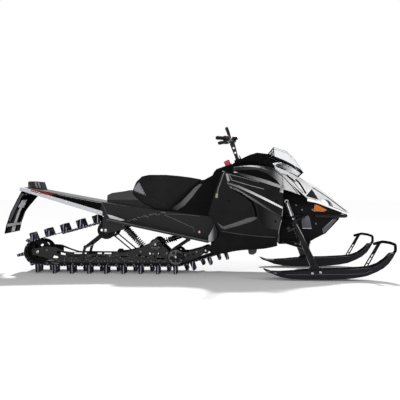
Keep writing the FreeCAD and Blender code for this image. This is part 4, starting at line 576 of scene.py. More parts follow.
def sweep(form: Form, path: Sequence[Point], radius: Union[float, Sequence[float]], steps: int = 10) -> None:
    """Carries a circle along a path and adds the tube to form.

    Args:
        form: The mesh being built.
        path: The points that the tube follows.
        radius: Its radius, or one for each point.
        steps: How many sides the tube has.
    """
    points = [Vector(p) for p in path]
    sizes = [radius] * len(points) if isinstance(radius, (int, float)) else radius
    rings = []
    side = None
    for size, before, point, after in zip(sizes, points[:1] + points, points, points[1:] + points[-1:]):
        way = (after - before).normalized()
        if side is None:
            side = UP.cross(way)
            side = ACROSS.cross(way) if side.length < 0.001 else side
        else:
            side = side - way * side.dot(way)
        side.normalize()
        top = way.cross(side)
        rings.append([point + side * corner.x + top * corner.y for corner in circle(size, 0.0, steps)])
    loft(form, rings)


def smooth_path(points: Sequence[Point], each: int) -> list[Vector]:
    """Rounds a path through a few points.

    Args:
        points: The points to pass through.
        each: How many steps go between two of them.

    Returns:
        The path's points.
    """
    knots = [Vector(p) for p in points]
    knots = [knots[0] * 2 - knots[1], *knots, knots[-1] * 2 - knots[-2]]
    path = []
    for a, b, c, d in zip(knots, knots[1:], knots[2:], knots[3:]):
        for t in (k / each for k in range(each)):
            path.append(0.5 * (2 * b + (c - a) * t + (2 * a - 5 * b + 4 * c - d) * t * t
                               + (3 * b - a - 3 * c + d) * t ** 3))
    return [*path, knots[-2]]


def bolt(form: Form, place: Point, axis: Point, across: float, height: float) -> None:
    """Adds a flanged six-sided bolt head to form.

    Args:
        form: The mesh being built.
        place: The middle of its seat.
        axis: The way that it faces.
        across: Its width.
        height: Its height with the flange.
    """
    flange = ((0, 0), (0.75, 0), (0.765, 0.18), (0.58, 0.3), (0, 0.3))
    head = ((0, 0), (0.55, 0), (0.55, 0.6), (0.42, 0.72), (0.2, 0.72), (0.16, 0.5), (0, 0.5))
    seat = Vector(place) + Vector(axis).normalized() * height * 0.28
    for profile, foot, steps in ((flange, place, 18), (head, seat, 6)):
        lathe(form, [(across * out, height * up) for out, up in profile], foot, axis, steps)


def block(form: Form, low: Vector, size: Point, edge: float) -> None:
    """Adds a block with rounded edges to form.

    Args:
        form: The mesh being built.
        low: Its lowest corner.
        size: Its length, width and height.
        edge: How far its edges are rounded.
    """
    shares = [Vector((x, y, z)) for x in (0, 1) for y in (0, 1) for z in (0, 1)]
    corners = [form.verts.new(low + share * Vector(size)) for share in shares]
    for face in ((0, 1, 3, 2), (4, 6, 7, 5), (0, 4, 5, 1), (2, 3, 7, 6), (0, 2, 6, 4), (1, 5, 7, 3)):
        form.faces.new([corners[k] for k in face])
    lines = {line for corner in corners for line in corner.link_edges}
    bmesh.ops.bevel(form, geom=list(lines), offset=edge, segments=2, affect="EDGES")


def pen(line: Line, width: float) -> Line:
    """Draws a line with a pen.

    Args:
        line: The points that the pen follows.
        width: How wide it draws.

    Returns:
        The closed outline, with square ends.
    """
    left, right = [], []
    for k, (x, z) in enumerate(line):
        x0, z0 = line[max(k - 1, 0)]
        x1, z1 = line[min(k + 1, len(line) - 1)]
        run = math.hypot(x1 - x0, z1 - z0) or 1.0
        across = (-(z1 - z0) / run * width / 2, (x1 - x0) / run * width / 2)
        left.append((x + across[0], z + across[1]))
        right.append((x - across[0], z - across[1]))
    return left + right[::-1]


def spaced(start: Spot, end: Spot, count: int) -> Line:
    """Returns evenly spaced places from start to end."""
    shares = (k / (count - 1) for k in range(count))
    return tuple(tuple(a + (b - a) * share for a, b in zip(start, end)) for share in shares)


def at_share(line: Line, share: float) -> float:
    """Reads the height of a line of (share, height) points.

    Args:
        line: The points, in rising order of share.
        share: Where to read it.

    Returns:
        The height there.
    """
    for (start, low), (stop, high) in zip(line, line[1:]):
        if share <= stop:
            return low + (high - low) * (share - start) / (stop - start)
    return line[-1][1]


@dataclass
class Skin:
    """The outside of CAD nodes or new pieces, as a surface to lay thin pieces on.

    Rays start at reach from the middle. A film leaves out what faces them by less than grazing and,
    on a side, what lies less than past_middle from the middle plane.
    """

    nodes: Sequence[Union[str, Piece]]
    reach: float = 2.0
    grazing: float = 0.12
    past_middle: float = 0.004
    tree: BVHTree = field(init=False)

    def __post_init__(self) -> None:
        """Gathers the nodes' faces."""
        points: list[Vector] = []
        faces: list[list[int]] = []
        for node in self.nodes:
            mesh = (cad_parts[node] if isinstance(node, str) else node).data
            base = len(points)
            points += [v.co.copy() for v in mesh.vertices]
            faces += [[base + k for k in face.vertices] for face in mesh.polygons]
        self.tree = BVHTree.FromPolygons(points, faces)

    def meet(self, start: Point, way: Point) -> Optional[tuple[Vector, Vector]]:
        """Sends a ray at the surface.

        Args:
            start: Where the ray starts.
            way: Where it goes.

        Returns:
            Where it meets the surface and the way that faces it there, or nothing.
        """
        point, normal, _, _ = self.tree.ray_cast(start, way)
        if point is None:
            return None
        return point, normal if normal.dot(way) < 0 else -normal

    def film(self, name: str, outlines: Sequence[Line], side: Side, lift: float = Layer.SKIN,
             step: float = 0.012, thickness: float = 0.0004, view: View = View.SIDE) -> Piece:
        """Lays thin shapes, drawn in a plain view, on the surface.

        Args:
            name: The new piece's name.
            outlines: Closed outlines in metres along the view's two axes.
            side: The side of the machine that they lie on.
            lift: How far the film stands off.
            step: The size of its faces.
            thickness: How thick it is.
            view: The view that the outlines are drawn in.

        Returns:
            The film.
        """
        first, way = (ALONG, ACROSS * -side) if view is View.SIDE else (ACROSS, -ALONG)
        form = bmesh.new()
        for outline in outlines:
            corners = [form.verts.new(first * a + UP * b) for a, b in outline]
            bmesh.ops.triangulate(form, faces=[form.faces.new(corners)])
        for axis in (first, UP):
            spots = [v.co.dot(axis) for v in form.verts]
            at = math.ceil(min(spots) / step) * step
            while at < max(spots):
                geometry = form.verts[:] + form.edges[:] + form.faces[:]
                bmesh.ops.bisect_plane(form, geom=geometry, plane_co=axis * at, plane_no=axis)
                at += step
        lost = []
        for vert in form.verts:
            met = self.meet(vert.co - way * self.reach, way)
            past = met is not None and view is View.SIDE and met[0].y * side < self.past_middle
            if met is None or met[1].dot(way) > -self.grazing or past:
                lost.append(vert)
            else:
                vert.co = met[0] + met[1] * lift
        bmesh.ops.delete(form, geom=lost, context="VERTS")
        piece = from_mesh(name, form)
        shell = piece.modifiers.new("film", "SOLIDIFY")
        shell.thickness = thickness
        shell.offset = 0.0
        return piece


# Studio


@dataclass
class Camera:
    """The photograph's point of view."""

    place: tuple[float, float, float] = (0.363, -6.118, 0.769)
    yaw: float = -3.007
    pitch: float = -1.204
    lens: float = 62.145
    sensor: float = 36.0

    def build(self) -> None:
        """Sets the scene's camera."""
        data = bpy.data.cameras.new("camera")
        data.lens = self.lens
        data.sensor_width = self.sensor
        camera = bpy.data.objects.new("camera", data)
        camera.location = self.place
        camera.rotation_euler = (math.radians(90 + self.pitch), 0, math.radians(-self.yaw))
        bpy.context.scene.collection.objects.link(camera)
        bpy.context.scene.camera = camera
        LOG.info("camera placed")


@dataclass
class Studio:
    """White floor, a sun from behind and soft lamps at a plain level."""

    floor_size: float = 60.0
    floor_colour: Colour = (0.82, 0.82, 0.82)
    floor_glow: float = 0.09
    sky: float = 0.25
    sun_way: Point = (0.08, 1.00, 1.0)
    sun_strength: float = 3.7
    sun_angle: float = 5.0
    fill_power: float = 150.0

    def build(self) -> None:
        """Builds the floor, the world and the lamps."""
        self.floor()
        self.world()
        sun = bpy.data.lights.new("sun", "SUN")
        sun.energy = self.sun_strength
        sun.angle = math.radians(self.sun_angle)
        self.hang(sun, (0, 0, 0), -Vector(self.sun_way))
        near, front = Vector((-1.2, -6.5, 3.2)), Vector((5.0, -3.5, 2.6))
        for name, place, target, size, power in (
                ("near_fill", near, Vector((0.0, 0.0, 0.6)), 3.4, self.fill_power),
                ("front_fill", front, Vector((0.6, 0.0, 0.6)), 2.2, self.fill_power * 0.5)):
            lamp = bpy.data.lights.new(name, "AREA")
            lamp.size = size
            lamp.energy = power
            self.hang(lamp, place, target - place)
        bpy.context.scene.view_settings.view_transform = "Standard"
        LOG.info("studio lit")

    def hang(self, light: bpy.types.Light, place: Point, way: Vector) -> None:
        """Hangs a light.

        Args:
            light: The light.
            place: Where it hangs.
            way: Where it shines.
        """
        lamp = bpy.data.objects.new(light.name, light)
        lamp.location = place
        lamp.rotation_euler = way.to_track_quat("-Z", "Y").to_euler()
        bpy.context.scene.collection.objects.link(lamp)

    def floor(self) -> None:
        """Builds the pale floor, which shows white and keeps its shadow."""
        form = bmesh.new()
        bmesh.ops.create_grid(form, x_segments=2, y_segments=2, size=self.floor_size / 2)
        floor = from_mesh("floor", form)
        mix = Recipe("floor_white", Base_Color=rgba(self.floor_colour), Roughness=0.9, Specular_IOR_Level=0.0)
        light = mix.node("Emission", {"Color": WHITE, "Strength": self.floor_glow})
        path = mix.node("LightPath", {}).outputs
        seen = mix.calc("MAXIMUM", path["Is Camera Ray"], path["Is Glossy Ray"])
        seen = mix.calc("MAXIMUM", seen, path["Is Transmission Ray"])
        none = mix.node("Emission", {"Strength": 0.0})
        glow = mix.node("MixShader", {0: seen, 1: none.outputs[0], 2: light.outputs[0]})
        both = mix.node("AddShader", {0: mix.shader.outputs[0], 1: glow.outputs[0]})
        mix.tree.links.new(both.outputs[0], mix.output.inputs["Surface"])
        floor.data.materials.append(mix.material)

    def world(self) -> None:
        """Sets a white world that lights the object softly."""
        world = bpy.data.worlds.new("studio")
        bpy.context.scene.world = world
        world.use_nodes = True
        mix = Nodes(world.node_tree)
        shown = mix.node("Background", {"Color": WHITE, "Strength": 1.0})
        light = mix.node("Background", {"Color": WHITE, "Strength": self.sky})
        path = mix.node("LightPath", {}).outputs
        seen = mix.calc("MAXIMUM", path["Is Camera Ray"], path["Is Transmission Ray"])
        either = mix.node("MixShader", {0: seen, 1: light.outputs[0], 2: shown.outputs[0]})
        mix.node("OutputWorld", {"Surface": either.outputs[0]})


# Finishes of the CAD nodes and of the added pieces


BLACK = (0.0065, 0.0065, 0.007)


@dataclass
class Wardrobe:
    """Every finish, made once, and the CAD nodes that wear each."""

    made: dict[str, Material] = field(default_factory=dict)

    def build(self) -> None:
        """Makes the finishes and dresses the nodes."""
        bare = set(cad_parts)
        for finish, nodes in self.table():
            self.made[finish.name] = finish.make()
            for node in nodes:
                self.dress(node, self.made[finish.name])
                bare.discard(node)
        LOG.info("nodes dressed: %d, bare: %s", len(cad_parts) - len(bare), sorted(bare))

    def dress(self, node: str, material: Material) -> None:
        """Puts a material on every slot of a CAD node.

        Args:
            node: The node's name.
            material: The material.
        """
        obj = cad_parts[node]
        if not obj.material_slots:
            obj.data.materials.append(material)
        for slot in obj.material_slots:
            slot.material = material

    def __getitem__(self, name: str) -> Material:
        """Returns a finish by its name."""
        return self.made[name]

    def table(self) -> Iterable[tuple[Finish, tuple[str, ...]]]:
        """Lists the finishes.

        Returns:
            Each finish with the nodes that wear it, which are none where only added pieces do.
        """
        return (
            (Rubber("track_rubber", (0.011, 0.011, 0.014), ribs=6.6), ("track",)),
            (Moulding("wheel_black", (0.007, 0.007, 0.008), rough=0.36), ("idler_wheels",)),
            (Paint("rail_black", (0.010, 0.010, 0.011), rough=0.34, coat=0.2), ("slide_rails",)),
            (Moulding("slider_plastic", (0.006, 0.006, 0.007), rough=0.3), ("sliders",)),
            (Paint("arm_black", (0.007, 0.007, 0.008), coat=0.15),
             ("skid_arms", "skid_hangers", "a_arms", "front_bumper", "steering_riser", "handlebar",
              "ski_loop_left", "ski_loop_right", "spindle_left", "spindle_right")),
            (Paint("shock_black", (0.02, 0.02, 0.022), rough=0.22, coat=0.8), ("skid_shocks",)),
            (Metal("shock_silver", (0.50, 0.50, 0.52), rough=0.25, stain=0.05), ("ski_shocks",)),
            (Metal("axle_steel", (0.42, 0.42, 0.44), rough=0.32), ("drive_axle",)),
            (Paint("tie_black", (0.02, 0.02, 0.022), rough=0.35), ("tie_rods",)),
            (Paint("tunnel_black", (0.009, 0.009, 0.010), rough=0.45, coat=0.03), ("tunnel",)),
            (Metal("bar_silver", (0.56, 0.57, 0.60), rough=0.5, stain=0.05), ("rear_bumper",)),
            (Paint("board_black", (0.013, 0.013, 0.014), rough=0.45, coat=0.1), ("running_boards",)),
            (Moulding("flap_black", (0.006, 0.006, 0.007), rough=0.8, shine=0.0), ("snow_flap",)),
            (Moulding("lamp_grey", (0.035, 0.035, 0.038), rough=0.4), ("tail_lamp_housing",)),
            (Lens("lens_red", (0.055, 0.004, 0.006), clear=0.15), ("tail_lamp_lens",)),
            (Vinyl("seat_vinyl", (0.0170, 0.0170, 0.0178)), ("seat",)),
            (Moulding("trunk_black", (0.007, 0.007, 0.008), rough=0.3, shine=0.25), ("seat_trunk",)),
            (Moulding("console_black", (0.0055, 0.0055, 0.006), rough=0.5, depth=0.03, shine=0.03),
             ("console",)),
            (Moulding("cap_red", (0.56, 0.10, 0.13), rough=0.35), ("filler_cap",)),
            (Moulding("body_black", BLACK, rough=0.5, depth=0.03, shine=0.0), ("dash_pod", "hood")),
            (Moulding("panel_black", (0.0115, 0.0115, 0.012), rough=0.5, depth=0.03, shine=0.05),
             ("belly_pan", "side_panels")),
            (Moulding("cowl_white", (0.90, 0.90, 0.91), rough=0.3, coat=0.05, depth=0.02, shine=0.2),
             ("nose_cowl",)),
            (Lens("lamp_dark", (0.012, 0.014, 0.022), clear=0.1, prism=90.0, depth=0.25), ("head_lamps",)),
            (Moulding("frame_black", (0.006, 0.006, 0.007), rough=0.55, shine=0.08),
             ("front_frame", "steering_bearing")),
            (Metal("engine_grey", (0.16, 0.16, 0.17), rough=0.5), ("engine_block",)),
            (ClearSheet("screen_clear", (0.93, 0.94, 0.95)), ("windshield",)),
            (Lens("amber", (0.90, 0.19, 0.004), clear=0.05, prism=220.0, depth=0.3), ("side_reflectors",)),
            (Metal("outlet_steel", (0.10, 0.095, 0.09), rough=0.45), ("exhaust_outlet",)),
            (Rubber("grip_rubber", (0.008, 0.008, 0.009), bloom=0.2), ("hand_grips",)),
            (Moulding("control_black", (0.009, 0.009, 0.010)), ("hand_controls",)),
            (Weave("strap_webbing", (0.012, 0.012, 0.013)), ("bar_strap",)),
            (Moulding("ski_plastic", (0.015, 0.015, 0.019), rough=0.42, scuff=0.8),
             ("ski_left", "ski_right")),
            (Metal("runner_steel", (0.45, 0.45, 0.46), rough=0.35), ("ski_runner_left", "ski_runner_right")),
            (Moulding("film_white", (0.80, 0.80, 0.81), rough=0.3, coat=0.3, depth=0.02), ()),
            (Moulding("film_pale", (0.30, 0.30, 0.31), rough=0.3, depth=0.02), ()),
            (Moulding("film_mid", (0.15, 0.15, 0.155), rough=0.3, depth=0.02), ()),
            (Moulding("film_grey", (0.085, 0.085, 0.09), rough=0.32, coat=0.3, depth=0.02), ()),
            (Moulding("film_black", (0.002, 0.002, 0.002), rough=0.7, shine=0.0, depth=0.02), ()),
            (Moulding("film_red", (0.19, 0.008, 0.016), rough=0.3, coat=0.4, depth=0.02), ()),
            (Moulding("flap_grey", (0.13, 0.13, 0.15), rough=0.6, depth=0.3, shine=0.02), ()),
            (Moulding("flap_pale", (0.90, 0.89, 0.95), rough=0.5, depth=0.1, shine=0.05), ()),
            (Moulding("flap_light", (0.62, 0.62, 0.66), rough=0.5, depth=0.1, shine=0.05), ()),
            (Moulding("plate_grey", (0.12, 0.12, 0.14), rough=0.5, depth=0.3), ()),
            (Fade("hood_shade", (0.012, 0.012, 0.013), (0.060, 0.060, 0.062), 0.28, 0.60), ()),
            (Fade("hood_rib", (0.020, 0.020, 0.021), (0.42, 0.42, 0.43), 0.36, 0.76), ()),
            (Fade("hood_fade", (0.026, 0.026, 0.027), (0.72, 0.72, 0.73), 0.655, 0.80), ()),
            (Fade("panel_sheen", BLACK, (0.045, 0.045, 0.047), 0.55, 0.74), ()),
            # Painted highlight on the toe holds, fading to their dark colour toward the front.
            (Fade("toe_fade", (0.42, 0.42, 0.44), (0.03, 0.03, 0.032), 0.135, 0.185), ("toe_holds",)),
            (Fade("pod_fade", (0.045, 0.045, 0.048), (0.70, 0.70, 0.71), 0.73, 0.90), ()),
            (Fade("seat_sheen", (0.020, 0.020, 0.021), (0.13, 0.13, 0.135), -0.20, -0.03), ()),
            (Moulding("film_tag", (0.30, 0.29, 0.17), rough=0.4), ()),
            (Moulding("button_red", (0.35, 0.02, 0.02), rough=0.3), ()),
            (Lens("gauge_glass", (0.02, 0.024, 0.03), clear=0.1, prism=40.0, depth=0.05), ()),
            (Fade("lower_fade", (0.20, 0.20, 0.21), (0.035, 0.035, 0.036), 0.33, 0.74), ()),
            (Fade("thick_fade", (0.13, 0.13, 0.135), (0.86, 0.86, 0.87), 0.30, 0.70), ()),
            (Metal("bolt_zinc", (0.55, 0.53, 0.50), rough=0.3), ()),
            (Metal("bolt_grey", (0.16, 0.16, 0.165), rough=0.32), ()),
            (Paint("bolt_black", (0.03, 0.03, 0.032), rough=0.35), ()),
            (Metal("spring_steel", (0.05, 0.05, 0.055), rough=0.3), ()),
            (Moulding("trim_black", (0.004, 0.004, 0.004), rough=0.6, shine=0.02), ()),
            (Moulding("seat_patch", (0.23, 0.22, 0.24), rough=0.5), ()),
            (Weave("seam_thread", (0.03, 0.03, 0.032)), ()),
        )


@dataclass
class Trim:
    """A sub-assembly of added pieces, which draws on the wardrobe."""

    wardrobe: Wardrobe

    def put(self, piece: Piece, slot: str, finish: str, body: Body = Body.CHASSIS) -> None:
        """Publishes one of its pieces.

        Args:
            piece: The piece.
            slot: The record's material slot.
            finish: The name of its finish.
            body: The body that it rides on.
        """
        publish(piece, body, slot, self.wardrobe[finish])


# Body stripes, painted shadows and painted highlights


@dataclass(frozen=True)
class Print:
    """One film, printed or painted light and shade: its name, the nodes it lies on, its outlines and finish.
    """

    name: str
    nodes: tuple[str, ...]
    outlines: Sequence[Line]
    finish: str
    slot: str = "body_black"
    layer: Layer = Layer.SKIN


@dataclass
class Livery(Trim):
    """Films on the bodywork, the same on both sides: printed stripes, and painted shadows, sheen and
    highlights.
    """

    step: float = 0.012
    fine_step: float = 0.004
    fine: tuple[str, ...] = ("fade", "swoosh", "bar_shade", "shade")
    shade: Line = mm(265, 911, 343, 927, 465, 941, 609, 938, 665, 924, 578, 906, 465, 903, 390, 897,
                     294, 894)
    fade: Line = mm(580, 935, 657, 926, 704, 907, 755, 866, 810, 807, 851, 757, 905, 690, 869, 683,
                    766, 703, 727, 714, 770, 741, 744, 760, 704, 813, 624, 872, 540, 902)
    rib: Line = mm(294, 890, 371, 881, 511, 845, 632, 810, 745, 768, 768, 740, 734, 746, 612, 785, 492, 822,
                   361, 866)
    thick: Line = mm(284, 798, 385, 768, 491, 721, 621, 657, 750, 590, 750, 574, 616, 639, 487, 702,
                     380, 750, 289, 781)
    lower: Line = mm(301, 767, 371, 741, 500, 665, 620, 588, 746, 510, 746, 489, 616, 572, 496, 648,
                     371, 724, 315, 748)
    slash: Line = mm(273, 868, 294, 868, 309, 808, 289, 802)
    arrow: Line = mm(200, 462, 252, 427, 325, 449, 464, 500, 510, 508, 542, 498, 491, 468, 371, 430,
                     265, 401, 237, 413)
    pod: Line = mm(690, 962, 757, 965, 802, 951, 846, 930, 887, 904, 925, 876, 902, 854, 839, 884, 772, 905,
                   715, 922)
    wedge: Line = mm(935, 492, 980, 511, 995, 493, 1014, 398, 934, 398, 923, 457)
    chin: Line = mm(1205, 484, 1230, 482, 1146, 380, 1115, 358, 1106, 385, 1165, 447)
    swoosh: Line = mm(-1430, 752, -1325, 738, -1254, 724, -1183, 700, -1234, 684, -1285, 690, -1345, 702,
                      -1410, 718)
    hood_top: Line = mm(322, 933, 429, 941, 539, 940, 633, 930, 645, 975, 548, 985, 480, 990, 395, 985,
                        330, 965)
    bar_shade: Line = mm(-1330, 702, -1228, 670, -1000, 596, -826, 539, -812, 556, -800, 616, -900, 636,
                         -1200, 692, -1300, 710)
    sheen: Line = mm(536, 630, 616, 568, 744, 487, 735, 450, 712, 395, 600, 415, 556, 500)
    shadow: Line = mm(366, 946, 410, 972, 496, 983, 554, 974, 602, 942, 508, 940, 437, 942)
    wheels: tuple[tuple[Spot, float, int], ...] = (((-0.338, 0.256), 0.058, 9), ((-0.160, 0.147), 0.068, 10))

    def spokes(self) -> list[Line]:
        """Draws painted highlights on the ribs and rims of the wheels that show.

        Returns:
            The outlines of their ribs and rims.
        """
        rows = []
        for (x, z), radius, count in self.wheels:
            def at(share: float, turn: float) -> Spot:
                """Returns the spot at a share of the radius and a turn."""
                return x + radius * share * math.cos(turn), z + radius * share * math.sin(turn)

            for k in range(count):
                turn = FULL_TURN * k / count + 0.2
                rows.append(pen([at(0.38, turn), at(0.84, turn)], width=0.0045))
            rows.append(pen([at(0.92, math.radians(a)) for a in range(20, 341, 16)], width=0.003))
        return rows

    def flecks(self, seed: int, count: int, start: Spot, end: Spot, spread: float) -> list[Line]:
        """Scatters a row of small irregular flecks.

        Args:
            seed: The number that fixes their shapes.
            count: How many there are.
            start: Where the row starts, along X and Z.
            end: Where it ends.
            spread: How far they stray from the row.

        Returns:
            Their outlines.
        """
        chance = random.Random(seed)
        rows = []
        for x, middle in spaced(start, end, count):
            z = middle + chance.uniform(-spread, spread)
            long, high = chance.uniform(0.005, 0.014), chance.uniform(0.002, 0.005)
            shape = ((0.0, 0.0), (1.0, -1.6), (1.1, -1.0), (0.3, 1.0))
            rows.append([(x + long * a, z + high * b) for a, b in shape])
        return rows

    def prints(self) -> Iterable[Print]:
        """Lists the films.

        Returns:
            Every film, from the hood to the running boards.
        """
        panels = ("side_panels", "hood", "belly_pan")
        front = ("nose_cowl", "hood", "head_lamps")
        return (
            Print("shade", panels, [self.shade], "hood_shade"),
            Print("rib", panels, [self.rib], "hood_rib"),
            Print("fade", ("hood", "nose_cowl", "side_panels"), [self.fade], "hood_fade"),
            Print("thick", panels, [self.thick], "thick_fade"),
            Print("lower", panels, [self.lower], "lower_fade"),
            Print("slash", panels, [self.slash], "film_pale"),
            Print("arrow", panels, [self.arrow], "film_grey"),
            Print("outline", panels, [
                pen(mm(302, 868, 324, 815, 454, 776, 593, 739), width=0.0045),
                pen(mm(309, 862, 417, 835, 557, 796), width=0.003)], "film_pale", layer=Layer.OVER),
            # Painted shade in the groove of the side panel.
            Print("recess", ("side_panels",), [
                pen(mm(324, 750, 385, 713, 454, 667, 496, 630, 519, 574, 530, 512), width=0.016)],
                  "film_black"),
            Print("seam", panels, [
                pen(mm(240, 386, 277, 381, 394, 363, 544, 346, 694, 336), width=0.004)],
                  "film_grey", layer=Layer.OVER),
            # Painted highlight along the side panel's front edge.
            Print("edge", ("side_panels",), [
                pen(mm(754, 592, 746, 545, 742, 490, 725, 426, 712, 362), width=0.005)], "film_pale"),
            # Painted highlight along the side panel's rear edge, beside the console.
            Print("rear_edge", ("side_panels", "console"), [
                pen(mm(262, 884, 248, 846, 230, 794, 212, 745, 204, 706), width=0.009)], "film_mid"),
            Print("panel_sheen", ("side_panels",), [self.sheen], "panel_sheen", layer=Layer.UNDER),
            Print("pod_shadow", ("dash_pod",), [self.shadow], "film_black"),
            Print("hood_shadow", ("hood",), [self.hood_top], "film_black"),
            Print("tag", ("side_panels", "console"), [
                mm(192, 702, 212, 704, 206, 664, 187, 666)], "film_tag", layer=Layer.RAISED),
            Print("sweep_line", ("hood", "nose_cowl"), [
                pen(mm(655, 916, 687, 898, 722, 873, 764, 841, 791, 812, 826, 773, 853, 738,
                       881, 703), width=0.006)], "film_black", "hood_white", Layer.OVER),
            Print("pod_lines", ("dash_pod",), [
                pen(mm(757, 965, 715, 964, 682, 957, 692, 938, 722, 924), width=0.011),
                pen(mm(722, 924, 772, 906, 839, 885, 900, 856), width=0.005)],
                  "film_white", layer=Layer.OVER),
            Print("nose_line", front, [
                pen(mm(742, 871, 790, 856, 846, 805, 882, 759, 930, 706), width=0.005)],
                  "film_black", "hood_white", Layer.OVER),
            Print("nose_mark", front, [
                pen(mm(795, 860, 868, 800), width=0.010),
                pen(mm(872, 822, 905, 789, 955, 700), width=0.014)], "film_black", "hood_white", Layer.OVER),
            Print("nose_rim", ("nose_cowl",), [
                pen(mm(1020, 752, 1140, 676, 1238, 603, 1318, 545), width=0.007)],
                  "film_black", "hood_white"),
            Print("pod", ("dash_pod",), [self.pod], "pod_fade"),
            Print("wedge", ("front_frame",), [self.wedge], "plate_grey", "frame_black"),
            Print("chin", ("front_frame",), [self.chin], "plate_grey", "frame_black"),
            Print("chin_line", ("front_frame",), [
                pen(mm(1198, 480, 1106, 392, 1116, 362), width=0.005)],
                  "film_pale", "frame_black", Layer.OVER),
            Print("wedge_line", ("front_frame",), [
                pen(mm(934, 400, 1012, 398), width=0.005)], "film_white", "frame_black", Layer.OVER),
            Print("bar_shade", ("tunnel",), [self.bar_shade], "trim_black", "tunnel_black"),
            # Painted highlight along the tunnel's upper edge.
            Print("top_line", ("tunnel",), [
                pen(mm(-1183, 691, -981, 652, -800, 619), width=0.005)],
                  "film_pale", "tunnel_black", Layer.OVER),
            Print("swoosh", ("tunnel", "rear_bumper"), [self.swoosh], "film_red", "tunnel_black", Layer.TOP),
            Print("glint", ("tunnel", "toe_holds", "running_boards"), [
                pen(mm(40, 372, 47, 384, 56, 376), width=0.006)], "amber", "tunnel_black", Layer.TOP),
            Print("tunnel_line", ("tunnel",), [
                pen(mm(-803, 626, -777, 579, -756, 521, -728, 486), width=0.005),
                pen(mm(-1400, 733, -1065, 672, -812, 627, -560, 588), width=0.003)],
                  "film_grey", "tunnel_black"),
            Print("tunnel_patch", ("tunnel",), [
                mm(-750, 519, -705, 509, -595, 470, -632, 464, -727, 484)],
                  "film_white", "tunnel_black", Layer.OVER),
            Print("tunnel_inner", ("tunnel",), [
                pen(mm(-256, 516, -194, 491, -101, 449, -3, 406, 4, 368), width=0.0045),
                pen(mm(-237, 524, -114, 522, 52, 506), width=0.003)], "film_mid", "tunnel_black"),
            Print("splash", ("tunnel",),
                  self.flecks(7, 34, (-0.575, 0.470), (-0.250, 0.542), 0.011),
                  "film_pale", "tunnel_black"),
            # Painted highlights on the ribs and rims of the skid wheels.
            Print("wheel_ribs", ("idler_wheels",), self.spokes(), "film_mid", "wheel_black"),
            # Painted glints scattered along the rails.
            Print("rail_wear", ("slide_rails",),
                  self.flecks(3, 46, (-1.15, 0.142), (-0.22, 0.150), 0.018)
                  + self.flecks(5, 40, (-1.25, 0.114), (-0.20, 0.112), 0.008),
                  "film_pale", "rail_black"),
            # Painted highlight along the running boards' outer lip.
            Print("board_line", ("running_boards",), [
                pen(mm(-738, 482, -487, 430, -184, 366, 122, 300), width=0.004)], "film_mid", "bar_silver"),
        )

    def build(self) -> None:
        """Lays every film on both sides."""
        for row in self.prints():
            skin = Skin(row.nodes)
            step = self.fine_step if row.name in self.fine else self.step
            for side in Side:
                film = skin.film(f"{row.name}_{side.word}", row.outlines, side, row.layer, step)
                self.put(film, row.slot, row.finish)


# Seat


